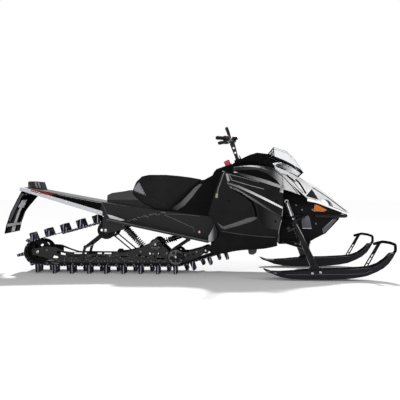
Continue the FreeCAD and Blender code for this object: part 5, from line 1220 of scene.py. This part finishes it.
@dataclass
class SeatCushion(Trim):
    """The padded seat under its sewn cover, which replaces the plain solid."""

    voxel: float = 0.006
    shrink: float = 0.004
    pressure: float = 4.0
    frames: int = 20
    pinned_seam: float = 0.004
    pinned_foot: float = 0.02
    cap: float = 0.0065
    seam_from: float = 0.09
    groove: float = 0.0028
    groove_width: float = 0.006
    thread: float = 0.0022
    film_step: float = 0.012
    thread_step: float = 0.008
    shoulder: Line = mm(-500, 795, -462, 818, -429, 834, -265, 832, -77, 815, 40, 800)
    lower: Line = mm(-553, 728, -422, 677, -350, 643, -287, 612, -225, 584)
    patch: Line = mm(-545, 731, -483, 800, -422, 680)
    sheen: Line = mm(50, 784, 7, 755, -54, 687, -114, 626, -194, 570, -145, 555, -83, 595, -16, 669,
                     38, 742, 70, 780)

    def build(self) -> None:
        """Sews, pads and dresses the seat."""
        cover = self.padding()
        self.sew(cover)
        self.put(cover, "seat_cover", "seat_vinyl")
        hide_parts("seat")
        skin = Skin((cover,))
        both = Skin((cover, "console"))
        seams = [pen(line, self.thread) for line in self.seams()]
        for side in Side:
            for name, under, outlines, finish, step in (
                    ("seat_patch", skin, [self.patch], "seat_patch", self.film_step),
                    ("seat_sheen", both, [self.sheen], "seat_sheen", self.film_step),
                    ("seat_thread", skin, seams, "seam_thread", self.thread_step)):
                film = under.film(f"{name}_{side.word}", outlines, side, Layer.CLOTH, step)
                self.put(film, "seat_cover", finish)

    def seams(self) -> tuple[Line, ...]:
        """Returns the lines that the cover is sewn along, in side view."""
        return self.shoulder, self.lower, self.patch[1:]

    def padding(self) -> Piece:
        """Swells the seat's mesh as padded cloth.

        Returns:
            The cover, within the space of the solid.
        """
        cover = bpy.data.objects.new("seat_padded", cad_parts["seat"].data.copy())
        bpy.context.scene.collection.objects.link(cover)
        even = cover.modifiers.new("even", "REMESH")
        even.mode = "VOXEL"
        even.voxel_size = self.voxel * 1
        self.settle(cover)
        form = bmesh.new()
        form.from_mesh(cover.data)
        form.normal_update()
        rest = [vert.co.copy() for vert in form.verts]
        low, high = (Vector(corner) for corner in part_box("seat"))
        for vert in form.verts:
            vert.co = vert.co - vert.normal * self.shrink
        form.to_mesh(cover.data)
        form.free()
        self.inflate(cover, rest, low.z + self.pinned_foot)
        for vert, place in zip(cover.data.vertices, rest):
            moved = vert.co - place
            if moved.length > self.cap:
                vert.co = place + moved.normalized() * self.cap
            vert.co = Vector(min(max(part, a), b) for part, a, b in zip(vert.co, low, high))
        return cover

    def inflate(self, cover: Piece, rest: Sequence[Vector], foot: float) -> None:
        """Blows the cover up as cloth that is held at its seams and foot.

        Args:
            cover: The cover.
            rest: Its places before it was shrunk.
            foot: The height below which it is held.
        """
        pinned = cover.vertex_groups.new(name="pinned")
        for vert, place in zip(cover.data.vertices, rest):
            hold = 1.0 if self.near_seam(place) < self.pinned_seam or place.z < foot else 0.0
            pinned.add([vert.index], hold, "REPLACE")
        cloth = cover.modifiers.new("cloth", "CLOTH")
        cloth.settings.use_pressure = True
        cloth.settings.uniform_pressure_force = self.pressure
        cloth.settings.effector_weights.gravity = 0.0
        cloth.settings.vertex_group_mass = pinned.name
        cloth.settings.quality = 5
        cloth.point_cache.frame_start = 1
        cloth.point_cache.frame_end = self.frames
        for step in range(1, self.frames + 1):
            bpy.context.scene.frame_set(step)
        self.settle(cover)
        bpy.context.scene.frame_set(1)

    def settle(self, piece: Piece) -> None:
        """Applies a piece's modifiers to its mesh.

        Args:
            piece: The piece.
        """
        graph = bpy.context.evaluated_depsgraph_get()
        mesh = bpy.data.meshes.new_from_object(piece.evaluated_get(graph))
        piece.modifiers.clear()
        piece.data = mesh

    def near_seam(self, place: Vector) -> float:
        """Measures how far a point lies from the seams in side view.

        Args:
            place: The point.

        Returns:
            The distance to the nearest seam, or 1 near the middle, where none runs.
        """
        if abs(place.y) < self.seam_from:
            return 1.0
        spot = Vector((place.x, place.z))
        gaps = []
        for line in self.seams():
            for start, end in zip(line, line[1:]):
                a, b = Vector(start), Vector(end)
                along = min(max((spot - a).dot(b - a) / (b - a).length_squared, 0.0), 1.0)
                gaps.append((spot - a - (b - a) * along).length)
        return min(1.0, *gaps)

    def sew(self, cover: Piece) -> None:
        """Rounds the padding once more and sinks the seams into it.

        Args:
            cover: The cover.
        """
        fine = cover.modifiers.new("fine", "SUBSURF")
        fine.levels = 1
        self.settle(cover)
        form = bmesh.new()
        form.from_mesh(cover.data)
        form.normal_update()
        moves = []
        for vert in form.verts:
            gap = self.near_seam(vert.co)
            if gap < self.groove_width:
                depth = self.groove * (0.5 + 0.5 * math.cos(math.pi * gap / self.groove_width))
                moves.append((vert, vert.normal * -depth))
        for vert, move in moves:
            vert.co += move
        form.to_mesh(cover.data)
        form.free()


# Flap


@dataclass
class Flap(Trim):
    """Moulded pads, coloured strips, bolts and a stiffening web on the snow flap."""

    step: float = 0.015
    bolt_row: tuple[float, ...] = (-0.15, -0.05, 0.05, 0.15)
    bolt_height: float = 0.690
    web_sides: tuple[float, float] = (0.095, 0.105)
    outer: Line = mm(200, 700, 138, 702, 124, 610, 126, 515, 150, 447, 200, 459)
    fork: Line = mm(-72, 640, 72, 640, 90, 578, 30, 574, 22, 530, 30, 440, -30, 440, -22, 530, -30, 574,
                    -90, 578)
    bar: Line = mm(42, 566, 104, 570, 118, 545, 112, 438, 44, 438)
    band: Line = mm(-198, 436, 198, 436, 198, 408, -198, 408)
    pad: Line = mm(62, 402, 190, 402, 186, 356, 66, 356)
    centre: Line = mm(-50, 402, 50, 402, 46, 356, -46, 356)
    web: Line = mm(-1432, 690, -1474, 640, -1528, 578, -1566, 525, -1596, 465, -1620, 425)
    web_back: Line = ((-1.4975, 0.7120), (-1.5360, 0.6420), (-1.5610, 0.5935), (-1.5915, 0.5345),
                      (-1.6120, 0.4770), (-1.6290, 0.4260))

    def build(self) -> None:
        """Lays the strips and pads, then sets the web and the bolts."""
        skin = Skin(("snow_flap",))
        for name, outlines, finish, lift, thickness in (
                ("flap_sides", self.both(self.outer), "flap_grey", 0.0010, 0.0015),
                ("flap_fork", (self.fork,), "flap_pale", 0.0010, 0.0015),
                ("flap_bars", self.both(self.bar), "trim_black", 0.0030, 0.0055),
                ("flap_band", (self.band,), "flap_light", 0.0015, 0.0025),
                ("flap_pads", self.both(self.pad), "trim_black", 0.0030, 0.0055),
                ("flap_centre", (self.centre,), "flap_pale", 0.0010, 0.0015)):
            film = skin.film(name, outlines, Side.LEFT, lift, self.step, thickness, View.FRONT)
            self.put(film, "flap_grey", finish)
        self.rib()
        form = bmesh.new()
        for y in self.bolt_row:
            met = skin.meet(Vector((0, y, self.bolt_height)), -ALONG)
            if met:
                bolt(form, *met, across=0.012, height=0.005)
        self.put(from_mesh("flap_bolts", form), "flap_grey", "bolt_zinc")

    def both(self, line: Line) -> tuple[Line, Line]:
        """Returns an outline and its mirror image."""
        return line, tuple((-y, z) for y, z in line)[::-1]

    def rib(self) -> None:
        """Builds the curved web that stiffens the flap behind its middle."""
        edge, back = (smooth_path([(x, 0.0, z) for x, z in line], 5) for line in (self.web, self.web_back))
        form = bmesh.new()
        loft(form, [[(p.x, y, p.z) for p in edge + back[::-1]] for y in self.web_sides])
        self.put(from_mesh("flap_web", form), "flap_grey", "trim_black")


# Fasteners


@dataclass(frozen=True)
class BoltRow:
    """Bolts at places in side view, on the outside of some nodes."""

    name: str
    nodes: tuple[str, ...]
    spots: Line
    across: float = 0.010
    height: float = 0.005
    finish: str = "bolt_zinc"
    slot: str = "body_black"
    sides: tuple[Side, ...] = (Side.RIGHT, Side.LEFT)
    body: Body = Body.CHASSIS


@dataclass
class Fasteners(Trim):
    """Bolts and rivets on both sides of the machine."""

    reach: float = 2.0
    facing: float = 0.4

    def rows(self) -> Iterable[BoltRow]:
        """Lists the bolts.

        Yields:
            Every row.
        """
        skid = ("idler_wheels", "slide_rails", "skid_arms", "skid_hangers")
        skid_axles, rail, tunnel = mm(-338, 256, -160, 147, 100, 206), ("slide_rails",), ("tunnel",)
        yield BoltRow("axle_bolts", skid, mm(-1378, 187, -767, 380), 0.017, 0.008, slot="wheel_black")
        yield BoltRow("axle_nuts", skid, skid_axles, 0.013, 0.007, slot="wheel_black")
        line = spaced((-1.26, 0.108), (-0.20, 0.106), 19)
        yield BoltRow("rail_bolts", rail, line, 0.006, 0.0025, "bolt_grey", "rail_black")
        line = mm(-1300, 200, -1240, 150, -740, 150, -470, 190, -360, 170, -240, 175, -80, 160, 20, 190)
        yield BoltRow("rail_studs", rail, line, 0.012, 0.005, "bolt_grey", "rail_black")
        line = spaced((-1.38, 0.719), (-0.84, 0.620), 13)
        yield BoltRow("tunnel_rivets", tunnel, line, 0.007, 0.002, "bolt_black", "tunnel_black")
        line = spaced((-0.62, 0.450), (-0.04, 0.332), 12)
        yield BoltRow("tunnel_rivets_low", tunnel, line, 0.007, 0.002, "bolt_black", "tunnel_black")
        yield BoltRow("hinge_bolts", ("tunnel", "console"), mm(47, 367), 0.013, 0.006, slot="tunnel_black")
        line = mm(300, 640, 690, 470, 700, 640)
        yield BoltRow("panel_turns", ("side_panels",), line, 0.012, 0.003, "trim_black")
        line = spaced((-1.36, 0.700), (-0.86, 0.545), 5)
        yield BoltRow("bumper_bolts", ("rear_bumper",), line, 0.010, 0.004, slot="bar_silver")
        line = mm(880, 600, 930, 560, 1020, 560, 1080, 500, 860, 450, 1050, 440)
        yield BoltRow("frame_bolts", ("front_frame",), line, finish="bolt_grey", slot="frame_black")
        for side in Side:
            nodes, line = (f"spindle_{side.word}", f"ski_{side.word}"), mm(1040, 70, 975, 62)
            yield BoltRow(f"ski_bolts_{side.word}", nodes, line, 0.014, 0.007, slot="spindle_black",
                          sides=(side,), body=side.leg)

    def build(self) -> None:
        """Seats every bolt on the surface that lies outermost."""
        for row in self.rows():
            skin = Skin(row.nodes)
            form = bmesh.new()
            for side in row.sides:
                for x, z in row.spots:
                    met = skin.meet(Vector((x, side * self.reach, z)), ACROSS * -side)
                    if met and met[0].y * side > 0 and met[1].y * side > self.facing:
                        bolt(form, *met, row.across, row.height)
            self.put(from_mesh(row.name, form), row.slot, row.finish, row.body)


# Suspension


@dataclass(frozen=True)
class Coil:
    """One coil spring, which starts and ends at shares of the way between a shock's eyes."""

    name: str
    head: Point
    foot: Point
    shares: Spot
    radius: float
    wire: float
    turns: int
    slot: str
    finish: str = "spring_steel"
    steps: int = 18
    dead: float = 0.03

    def path(self, start: Vector, end: Vector) -> list[Vector]:
        """Winds the wire.

        Args:
            start: The middle of the coil's head.
            end: The middle of its foot.

        Returns:
            The points that the wire follows, flat at both ends.
        """
        where = aim(start, end - start)
        length = (end - start).length
        count = self.turns * self.steps
        points = []
        for share in (k / count for k in range(count + 1)):
            angle = FULL_TURN * self.turns * share
            rise = length * min(max((share - self.dead) / (1 - 2 * self.dead), 0), 1)
            out, aside = self.radius * math.cos(angle), self.radius * math.sin(angle)
            points.append(where @ Vector((out, aside, rise)))
        return points

    def seat(self) -> Line:
        """Returns the profile of the ring that the coil rests on."""
        shape = ((-2, 0), (1.4, 0), (1.6, 1), (1.2, 2), (-2, 2), (-2, 0))
        return tuple((self.radius + self.wire * out, self.wire * up) for out, up in shape)


@dataclass
class Suspension(Trim):
    """Coil springs on the shocks, between their rings."""

    ski_head: Point = (0.790, 0.205, 0.632)
    ski_foot: Point = (0.9096, 0.3443, 0.2841)

    def coils(self) -> Iterable[Coil]:
        """Lists the springs.

        Yields:
            Every spring.
        """
        for side in Side:
            head, foot = ((x, side * y, z) for x, y, z in (self.ski_head, self.ski_foot))
            yield Coil(f"ski_spring_{side.word}", head, foot, (0.40, 0.86), 0.0245, 0.0038, 8, "shock_silver")
        yield Coil("skid_spring_front", (-0.118, 0, 0.322), (-0.338, 0, 0.256), (0.30, 0.80), 0.0255,
                   0.0038, 7, "shock_black")
        yield Coil("skid_spring_rear", (-0.630, 0, 0.402), (-0.452, 0, 0.214), (0.12, 0.86), 0.0285,
                   0.0040, 11, "shock_black", "bolt_grey")

    def build(self) -> None:
        """Winds every spring and seats it between two rings."""
        for coil in self.coils():
            start, end = (Vector(coil.head).lerp(Vector(coil.foot), share) for share in coil.shares)
            wire, rings = bmesh.new(), bmesh.new()
            sweep(wire, coil.path(start, end), coil.wire, 8)
            self.put(from_mesh(coil.name, wire), coil.slot, coil.finish)
            way = (end - start).normalized()
            for place, out in ((start, -way), (end, way)):
                lathe(rings, coil.seat(), place + out * coil.wire, out, 28)
            self.put(from_mesh(coil.name + "_seats", rings), coil.slot, "trim_black")


# Track


@dataclass
class TrackTrim(Trim):
    """Guide clips on the belt's lower run and driving lugs inside its upper run."""

    pitch: float = 0.0762
    clip_run: tuple[float, float] = (-1.29, -0.12)
    clip_y: float = 0.156
    clip_size: tuple[float, float, float, float] = (0.012, 0.009, 0.0016, 0.010)
    low_eye: float = 0.20
    high_eye: float = 0.30
    lug_start: float = -1.155
    lug_count: int = 12
    lug_rows: tuple[float, ...] = (-0.120, -0.060, 0.060, 0.120)
    lug_width: float = 0.010
    lug_levels: Line = ((0.013, -0.001), (0.006, 0.013))
    lug_room: float = 0.004

    def build(self) -> None:
        """Clips the belt and stands its driving lugs."""
        skin = Skin(("track",))
        form = bmesh.new()
        x, end = self.clip_run
        while x < end:
            for side in Side:
                met = skin.meet(Vector((x, side * self.clip_y, self.low_eye)), -UP)
                if met:
                    self.clip(form, met[0])
            x += self.pitch
        self.put(from_mesh("track_clips", form), "track_rubber", "bolt_zinc")
        self.inner_lugs(skin)

    def inner_lugs(self, skin: Skin) -> None:
        """Stands driving lugs on the inside of the belt's upper run, where nothing is near.

        Args:
            skin: The belt's surface.
        """
        rest = Skin(("idler_wheels", "skid_arms", "skid_hangers", "skid_shocks", "slide_rails", "tunnel"))
        form = bmesh.new()
        for x in (self.lug_start + k * self.pitch * 0.5 for k in range(self.lug_count)):
            for y in self.lug_rows:
                start = Vector((x, y, self.high_eye))
                met, near = skin.meet(start, UP), rest.meet(start, UP)
                if met is None or (near is not None and near[0].z < met[0].z + self.lug_room):
                    continue
                place, down = met[0], met[1].normalized()
                along, half = ACROSS.cross(down), self.lug_width
                loft(form, [[place + along * dx + ACROSS * dy + down * deep
                             for dx, dy in ((-size, -half), (size, -half), (size, half), (-size, half))]
                            for size, deep in self.lug_levels])
        self.put(from_mesh("inner_lugs", form), "track_rubber", "track_rubber")

    def clip(self, form: Form, place: Vector) -> None:
        """Adds one folded steel clip that stands on the belt.

        Args:
            form: The mesh being built.
            place: The middle of its foot.
        """
        long, wide, thick, high = self.clip_size
        half = ((long * 0.4, high), (long * 0.55, 0), (long, 0), (long, thick), (long * 0.62, thick),
                (long * 0.47, high + thick))
        profile = half + tuple((-x, z) for x, z in half[::-1])
        loft(form, [[place + Vector((x, y, z)) for x, z in profile] for y in (-wide, wide)])


# Front


@dataclass
class FrontTrim(Trim):
    """Screen rim and brace, and dark sheets of painted shade inside the cowl's lower edge."""

    rim: float = 0.0014
    rim_from: float = 0.9
    crease: float = 0.9
    brace_y: float = 0.104
    brace_top: Spot = (0.684, 1.092)
    brace_foot: Spot = (0.690, 1.022)
    brace_back: Spot = (0.640, 1.040)
    brace_strut: tuple[Spot, Spot] = ((0.664, 1.031), (0.684, 1.070))
    shroud_steps: int = 17

    def build(self) -> None:
        """Builds the trim."""
        self.screen_rim()
        self.screen_brace()
        self.shroud()

    def screen_rim(self) -> None:
        """Beads the screen's edges."""
        form = bmesh.new()
        form.from_mesh(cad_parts["windshield"].data)
        bmesh.ops.remove_doubles(form, verts=form.verts, dist=0.00001)
        inner = [edge for edge in form.edges if len(edge.link_faces) == 2]
        sharp = [edge for edge in inner if edge.calc_face_angle(0) > self.crease]
        chains = chain([(edge.verts[0].co.copy(), edge.verts[1].co.copy()) for edge in sharp])
        form.free()
        rim = bmesh.new()
        for path in chains:
            if len(path) > 2 and max(p.z for p in path) > self.rim_from:
                sweep(rim, path, self.rim, 6)
        self.put(from_mesh("screen_rim", rim), "screen_clear", "trim_black")

    def screen_brace(self) -> None:
        """Builds the forked stay behind each rear corner of the screen, and the bar between the two."""
        form = bmesh.new()
        top, foot, back = self.brace_top, self.brace_foot, self.brace_back
        for side in Side:
            for start, end, size in ((back, top, 0.0045), (back, foot, 0.004), (foot, top, 0.004),
                                     (*self.brace_strut, 0.0028)):
                first, last = (Vector((x, side * self.brace_y, z)) for x, z in (start, end))
                sweep(form, [first.lerp(last, k / 6) for k in range(7)], size, 8)
        sweep(form, [(top[0], self.brace_y * (k / 6 - 1), top[1]) for k in range(13)], 0.004, 8)
        self.put(from_mesh("screen_brace", form), "tube_black", "trim_black")

    def shroud(self) -> None:
        """Hangs a dark sheet inside the cowl's lower edge on each side, as painted shade."""
        skin = Skin(("nose_cowl", "hood"))
        form = bmesh.new()
        for side in Side:
            places = [(0.762 + 0.0130 * k, side * (0.196 - 0.0012 * k)) for k in range(self.shroud_steps)]
            hits = [skin.meet(Vector((x, y, 0.60)), UP) for x, y in places]
            tops = [met[0].z if met else math.inf for met in hits]
            rings = []
            for k, (x, y) in enumerate(places):
                top, foot = min(tops[max(k - 2, 0):k + 3]) - 0.004, max(0.655 - 0.003 * k, 0.60)
                if top == math.inf:
                    break
                inner = y - side * 0.003
                rings.append(((x, y, foot), (x, y, top), (x, inner, top), (x, inner, foot)))
            if rings:
                loft(form, rings)
        self.put(from_mesh("cowl_shroud", form), "frame_black", "trim_black")


def chain(edges: Sequence[tuple[Vector, Vector]]) -> list[list[Vector]]:
    """Joins a heap of edges to paths.

    Args:
        edges: Pairs of end points.

    Returns:
        Paths of points.
    """
    def key(point: Vector) -> tuple[int, ...]:
        """Returns a point's place on a fine grid."""
        return tuple(round(part * 20000) for part in point)

    joined: dict[tuple[int, ...], list[int]] = {}
    for number, (start, end) in enumerate(edges):
        joined.setdefault(key(start), []).append(number)
        joined.setdefault(key(end), []).append(number)
    used: set[int] = set()
    paths = []
    for number, (start, end) in enumerate(edges):
        if number in used:
            continue
        used.add(number)
        path = [start, end]
        for _ in range(2):
            while ahead := [n for n in joined[key(path[-1])] if n not in used]:
                used.add(ahead[0])
                a, b = edges[ahead[0]]
                path.append(b if key(a) == key(path[-1]) else a)
            path.reverse()
        paths.append(path)
    return paths


# Tail lamp


@dataclass
class TailLamp(Trim):
    """Ribs on the tail lamp's lens and pale painted highlights on its housing."""

    # Outlines of painted highlights on the housing, in side view.
    facets: tuple[Line, ...] = (mm(-1428, 800, -1412, 800, -1392, 745, -1408, 745),
                                mm(-1402, 800, -1384, 800, -1364, 745, -1380, 745))
    lens_x: float = -1.4845
    rib_count: int = 9
    rib_gap: float = 0.016
    rib_foot: float = 0.748
    rib_height: float = 0.052
    rib_radius: float = 0.0022

    def build(self) -> None:
        """Dresses the lamp."""
        skin = Skin(("tail_lamp_housing",))
        for side in Side:
            film = skin.film(f"lamp_facets_{side.word}", self.facets, side, Layer.CLOTH)
            self.put(film, "lamp_grey", "film_pale")
        form = bmesh.new()
        for k in range(self.rib_count):
            y = self.rib_gap * (k - (self.rib_count - 1) / 2)
            path = [(self.lens_x, y, self.rib_foot + self.rib_height * j / 8) for j in range(9)]
            sweep(form, path, self.rib_radius, 6)
        self.put(from_mesh("tail_lens_ribs", form), "lens_red", "lens_red")


# Controls


@dataclass
class Controls(Trim):
    """Brake cylinder, switches, bands and padding on the handlebar, and the gauge on the dash."""

    tube: float = 0.011
    cylinder_y: float = 0.135
    switch_y: float = 0.205
    stop_y: float = -0.165
    band_rows: tuple[float, ...] = (-0.232, -0.172, 0.100, 0.172, 0.232)
    sleeve: float = 0.0135
    sleeve_end: float = 0.0115
    strap: Sequence[Point] = (
        (0.2985, -0.049, 1.2160), (0.2900, -0.048, 1.2400), (0.2815, -0.040, 1.2630),
        (0.2775, -0.020, 1.2715), (0.2770, 0.000, 1.2730), (0.2775, 0.020, 1.2715),
        (0.2815, 0.040, 1.2630), (0.2900, 0.048, 1.2400), (0.2985, 0.049, 1.2160))
    barrel: Line = mm(0, -34, 14, -34, 17, -26, 17, 22, 12, 32, 0, 32)
    clamp: Line = ((0, -0.012), (0.0155, -0.012), (0.0155, 0.012), (0, 0.012))
    pod: Line = mm(10, -20, 19, -18, 21, -10, 21, 10, 19, 18, 10, 20)
    button: Line = ((0, 0), (0.0042, 0), (0.0042, 0.002), (0.003, 0.003), (0, 0.003))
    stop: Line = mm(0, 0, 6, 0, 6, 6, 11, 7, 12, 11, 9, 14, 0, 14)
    band: Line = ((0.0108, -0.003), (0.0152, -0.003), (0.0152, 0.003), (0.0108, 0.003))
    bezel: Line = mm(34, 2, 34, 0, 42, 0, 43, 4, 39, 7, 35, 6, 34, 2)
    glass: Line = ((0, 0.0035), (0.020, 0.0033), (0.0345, 0.0025))

    def bar_at(self, y: float) -> Vector:
        """Finds the middle of the handlebar's tube.

        Args:
            y: Where along the bar.

        Returns:
            The middle there.
        """
        skin = Skin(("handlebar", "steering_riser"))
        rays = (Vector((1.0, y, 1.13 + 0.0015 * k)) for k in range(40))
        spots = [met[0] for met in (skin.meet(ray, -ALONG) for ray in rays) if met]
        return Vector((max(p.x for p in spots) - self.tube, y, sum(p.z for p in spots) / len(spots)))

    def build(self) -> None:
        """Builds everything on the bar, and the gauge."""
        self.strap_sleeve()
        self.cylinder()
        self.switches()
        self.gauge()

    def strap_sleeve(self) -> None:
        """Pads the strap's loop."""
        path = smooth_path(self.strap, 5)
        sizes = [self.sleeve + 0.0008 * math.cos(k * 1.9) for k in range(len(path))]
        sizes[0] = sizes[-1] = self.sleeve_end
        form = bmesh.new()
        sweep(form, path, sizes, 14)
        self.put(from_mesh("strap_sleeve", form), "strap_fabric", "strap_webbing", Body.STEERING)

    def cylinder(self) -> None:
        """Builds the brake's cylinder with its reservoir."""
        at = self.bar_at(self.cylinder_y)
        form, screws = bmesh.new(), bmesh.new()
        lathe(form, self.barrel, at + Vector((0.034, 0, 0.004)), (0.25, 1, 0.05), 20)
        lathe(form, self.clamp, at, (0.1, 1, 0), 20)
        block(form, at + Vector((0.018, -0.026, 0.014)), (0.052, 0.054, 0.026), edge=0.004)
        for dx, dy in ((0.026, -0.016), (0.062, 0.018)):
            bolt(screws, at + Vector((dx, dy, 0.040)), UP, across=0.006, height=0.003)
        self.put(from_mesh("brake_cylinder", form), "control_black", "control_black", Body.STEERING)
        self.put(from_mesh("cylinder_screws", screws), "control_black", "bolt_zinc", Body.STEERING)

    def switches(self) -> None:
        """Builds the switch pods with their buttons, the stop button and the bands."""
        pods, buttons, stop, bands = (bmesh.new() for _ in range(4))
        for side in Side:
            at = self.bar_at(side * self.switch_y)
            lathe(pods, self.pod, at, (-0.3, side, 0), 22)
            low = at + Vector((-0.030, -0.012, 0.004))
            block(pods, low, (0.026, 0.024, 0.018), edge=0.003)
            for dy in (0.006, 0.018):
                lathe(buttons, self.button, low + Vector((0.013, dy, 0.018)), UP, 12)
        lathe(stop, self.stop, self.bar_at(self.stop_y) + Vector((0.002, 0, 0.014)), (0.2, 0, 1), 20)
        for y in self.band_rows:
            lathe(bands, self.band, self.bar_at(y), ACROSS, 20)
        for name, form, finish in (
                ("bar_bands", bands, "bolt_zinc"), ("switch_pods", pods, "control_black"),
                ("switch_buttons", buttons, "film_pale"), ("stop_button", stop, "button_red")):
            self.put(from_mesh(name, form), "control_black", finish, Body.STEERING)

    def gauge(self) -> None:
        """Seats the gauge on the dash."""
        place, way = Skin(("dash_pod",)).meet(Vector((0.20, 0.0, 0.995)), ALONG)
        for name, profile, finish in (("gauge_bezel", self.bezel, "trim_black"),
                                      ("gauge_glass", self.glass, "gauge_glass")):
            form = bmesh.new()
            lathe(form, profile, place - way * 0.001, way, 36)
            self.put(from_mesh(name, form), "body_black", finish)


# Skis


@dataclass
class SkiTrim(Trim):
    """Grooves, tip walls and handle sleeves of the skis, painted highlights on their tails and painted
    highlights along the legs' edges.

    The lines plan, keel, brim and loop and the ladder are in shares of a ski's length, width and rise.
    """

    groove: Line = mm(760, 50, 860, 52, 1061, 54, 1260, 57, 1379, 64, 1450, 88)
    tail: Line = mm(590, 81, 630, 71, 690, 60)
    plan: Line = mm(700, 500, 800, 500, 930, 400, 1020, 240)
    keel: Line = mm(700, 120, 778, 190, 853, 330, 906, 463, 951, 643, 981, 837)
    brim: Line = mm(587, 410, 747, 455, 816, 490, 876, 600, 928, 784, 966, 980)
    loop: Line = mm(968, 820, 1008, 1060, 1006, 1280, 962, 1350, 909, 1385, 866, 1335, 838, 1295)
    leg: Line = mm(858, 452, 900, 372, 938, 296, 1000, 170, 1040, 100)
    ladder: tuple[Line, Line] = (((0.762, 0.42), (0.874, 1.32)), ((0.786, 0.42), (0.896, 1.36)))
    tip_run: tuple[Spot, Spot] = ((0.775, 0.0), (0.962, 0.0))
    tip_steps: int = 24
    wall: float = 0.009
    inset: float = 0.0006
    foot: float = 0.0015
    bend: float = 0.012
    sleeve: float = 0.0118
    gusset: float = 0.0035

    def build(self) -> None:
        """Lays the lines and builds the pieces on both sides."""
        for side in Side:
            ski, spindle = Skin((f"ski_{side.word}",)), Skin((f"spindle_{side.word}",))
            for skin, name, line, width, slot, finish in (
                    (ski, "ski_groove", self.groove, 0.005, "ski_plastic", "film_grey"),
                    # Painted highlight on the top of each ski's tail.
                    (ski, "ski_tail", self.tail, 0.006, "ski_plastic", "film_pale"),
                    # Painted highlight along the leg's front edge.
                    (spindle, "leg_line", self.leg, 0.006, "spindle_black", "film_pale")):
                film = skin.film(f"{name}_{side.word}", [pen(line, width)], side)
                self.put(film, slot, finish, side.leg)
            self.tip(side)
            self.handle(side)

    def ruler(self, side: Side) -> tuple[float, float, float, float, float]:
        """Measures a ski by its own box.

        Args:
            side: The ski's side.

        Returns:
            Its tail, length, rise, middle and width.
        """
        xs, ys, zs = zip(*bpy.data.objects[f"ski_{side.word}"].bound_box)
        return min(xs), max(xs) - min(xs), max(zs), (min(ys) + max(ys)) / 2, max(ys) - min(ys)

    def tip(self, side: Side) -> None:
        """Carries the ski's side walls on round its narrowing tip.

        Args:
            side: The ski's side.
        """
        tail, length, rise, middle, width = self.ruler(side)
        form = bmesh.new()
        for hand in (-1, 1):
            rings = []
            for share, _ in spaced(*self.tip_run, self.tip_steps + 1):
                x, half = tail + length * share, at_share(self.plan, share) * width - self.inset
                low, top = (at_share(line, share) * rise for line in (self.keel, self.brim))
                low, top, inner = low + self.foot, top - self.inset, half - self.wall
                rings.append([(x, middle + hand * y, z)
                              for y, z in ((half, low), (half, top), (inner, top), (inner, low))])
            loft(form, rings)
        self.put(from_mesh(f"ski_tip_{side.word}", form), "ski_plastic", "ski_plastic", side.leg)

    def handle(self, side: Side) -> None:
        """Sleeves the ski's handle in rubber and fills the head of its ladder.

        Args:
            side: The ski's side.
        """
        tail, length, rise, middle, _ = self.ruler(side)
        corners, rear, front = ([Vector((tail + length * u, middle, rise * v)) for u, v in line]
                                for line in (self.loop, *self.ladder))
        path = [corners[0].lerp(corners[1], 0.25)]
        for before, at, after in zip(corners, corners[1:], corners[2:]):
            start, stop = (at + (end - at).normalized() * min(self.bend, (end - at).length * 0.45)
                           for end in (before, after))
            path += [start.lerp(at, s).lerp(at.lerp(stop, s), s) for s in (0.0, 0.25, 0.5, 0.75, 1.0)]
        path.append(corners[-1].lerp(corners[-2], 0.15))
        form = bmesh.new()
        sweep(form, path, self.sleeve, 14)
        outline = [rear[0].lerp(rear[1], 0.48), rear[0].lerp(rear[1], 0.97), front[0].lerp(front[1], 0.96),
                   front[0].lerp(front[1], 0.62)]
        loft(form, [[(p.x, middle + y, p.z) for p in outline] for y in (-self.gusset, self.gusset)])
        self.put(from_mesh(f"loop_sleeve_{side.word}", form), "loop_black", "trim_black", side.leg)


# Main


def main() -> None:
    """Builds the scene in order."""
    logging.basicConfig(level=logging.INFO, format="%(name)s: %(message)s")
    Camera().build()
    Studio().build()
    wardrobe = Wardrobe()
    wardrobe.build()
    for kind in (SeatCushion, Livery, Flap, Fasteners, Suspension, TrackTrim, FrontTrim, TailLamp, Controls,
                 SkiTrim):
        kind(wardrobe).build()
        LOG.info("%s built", kind.__name__)


if __name__ == "__main__":
    main()
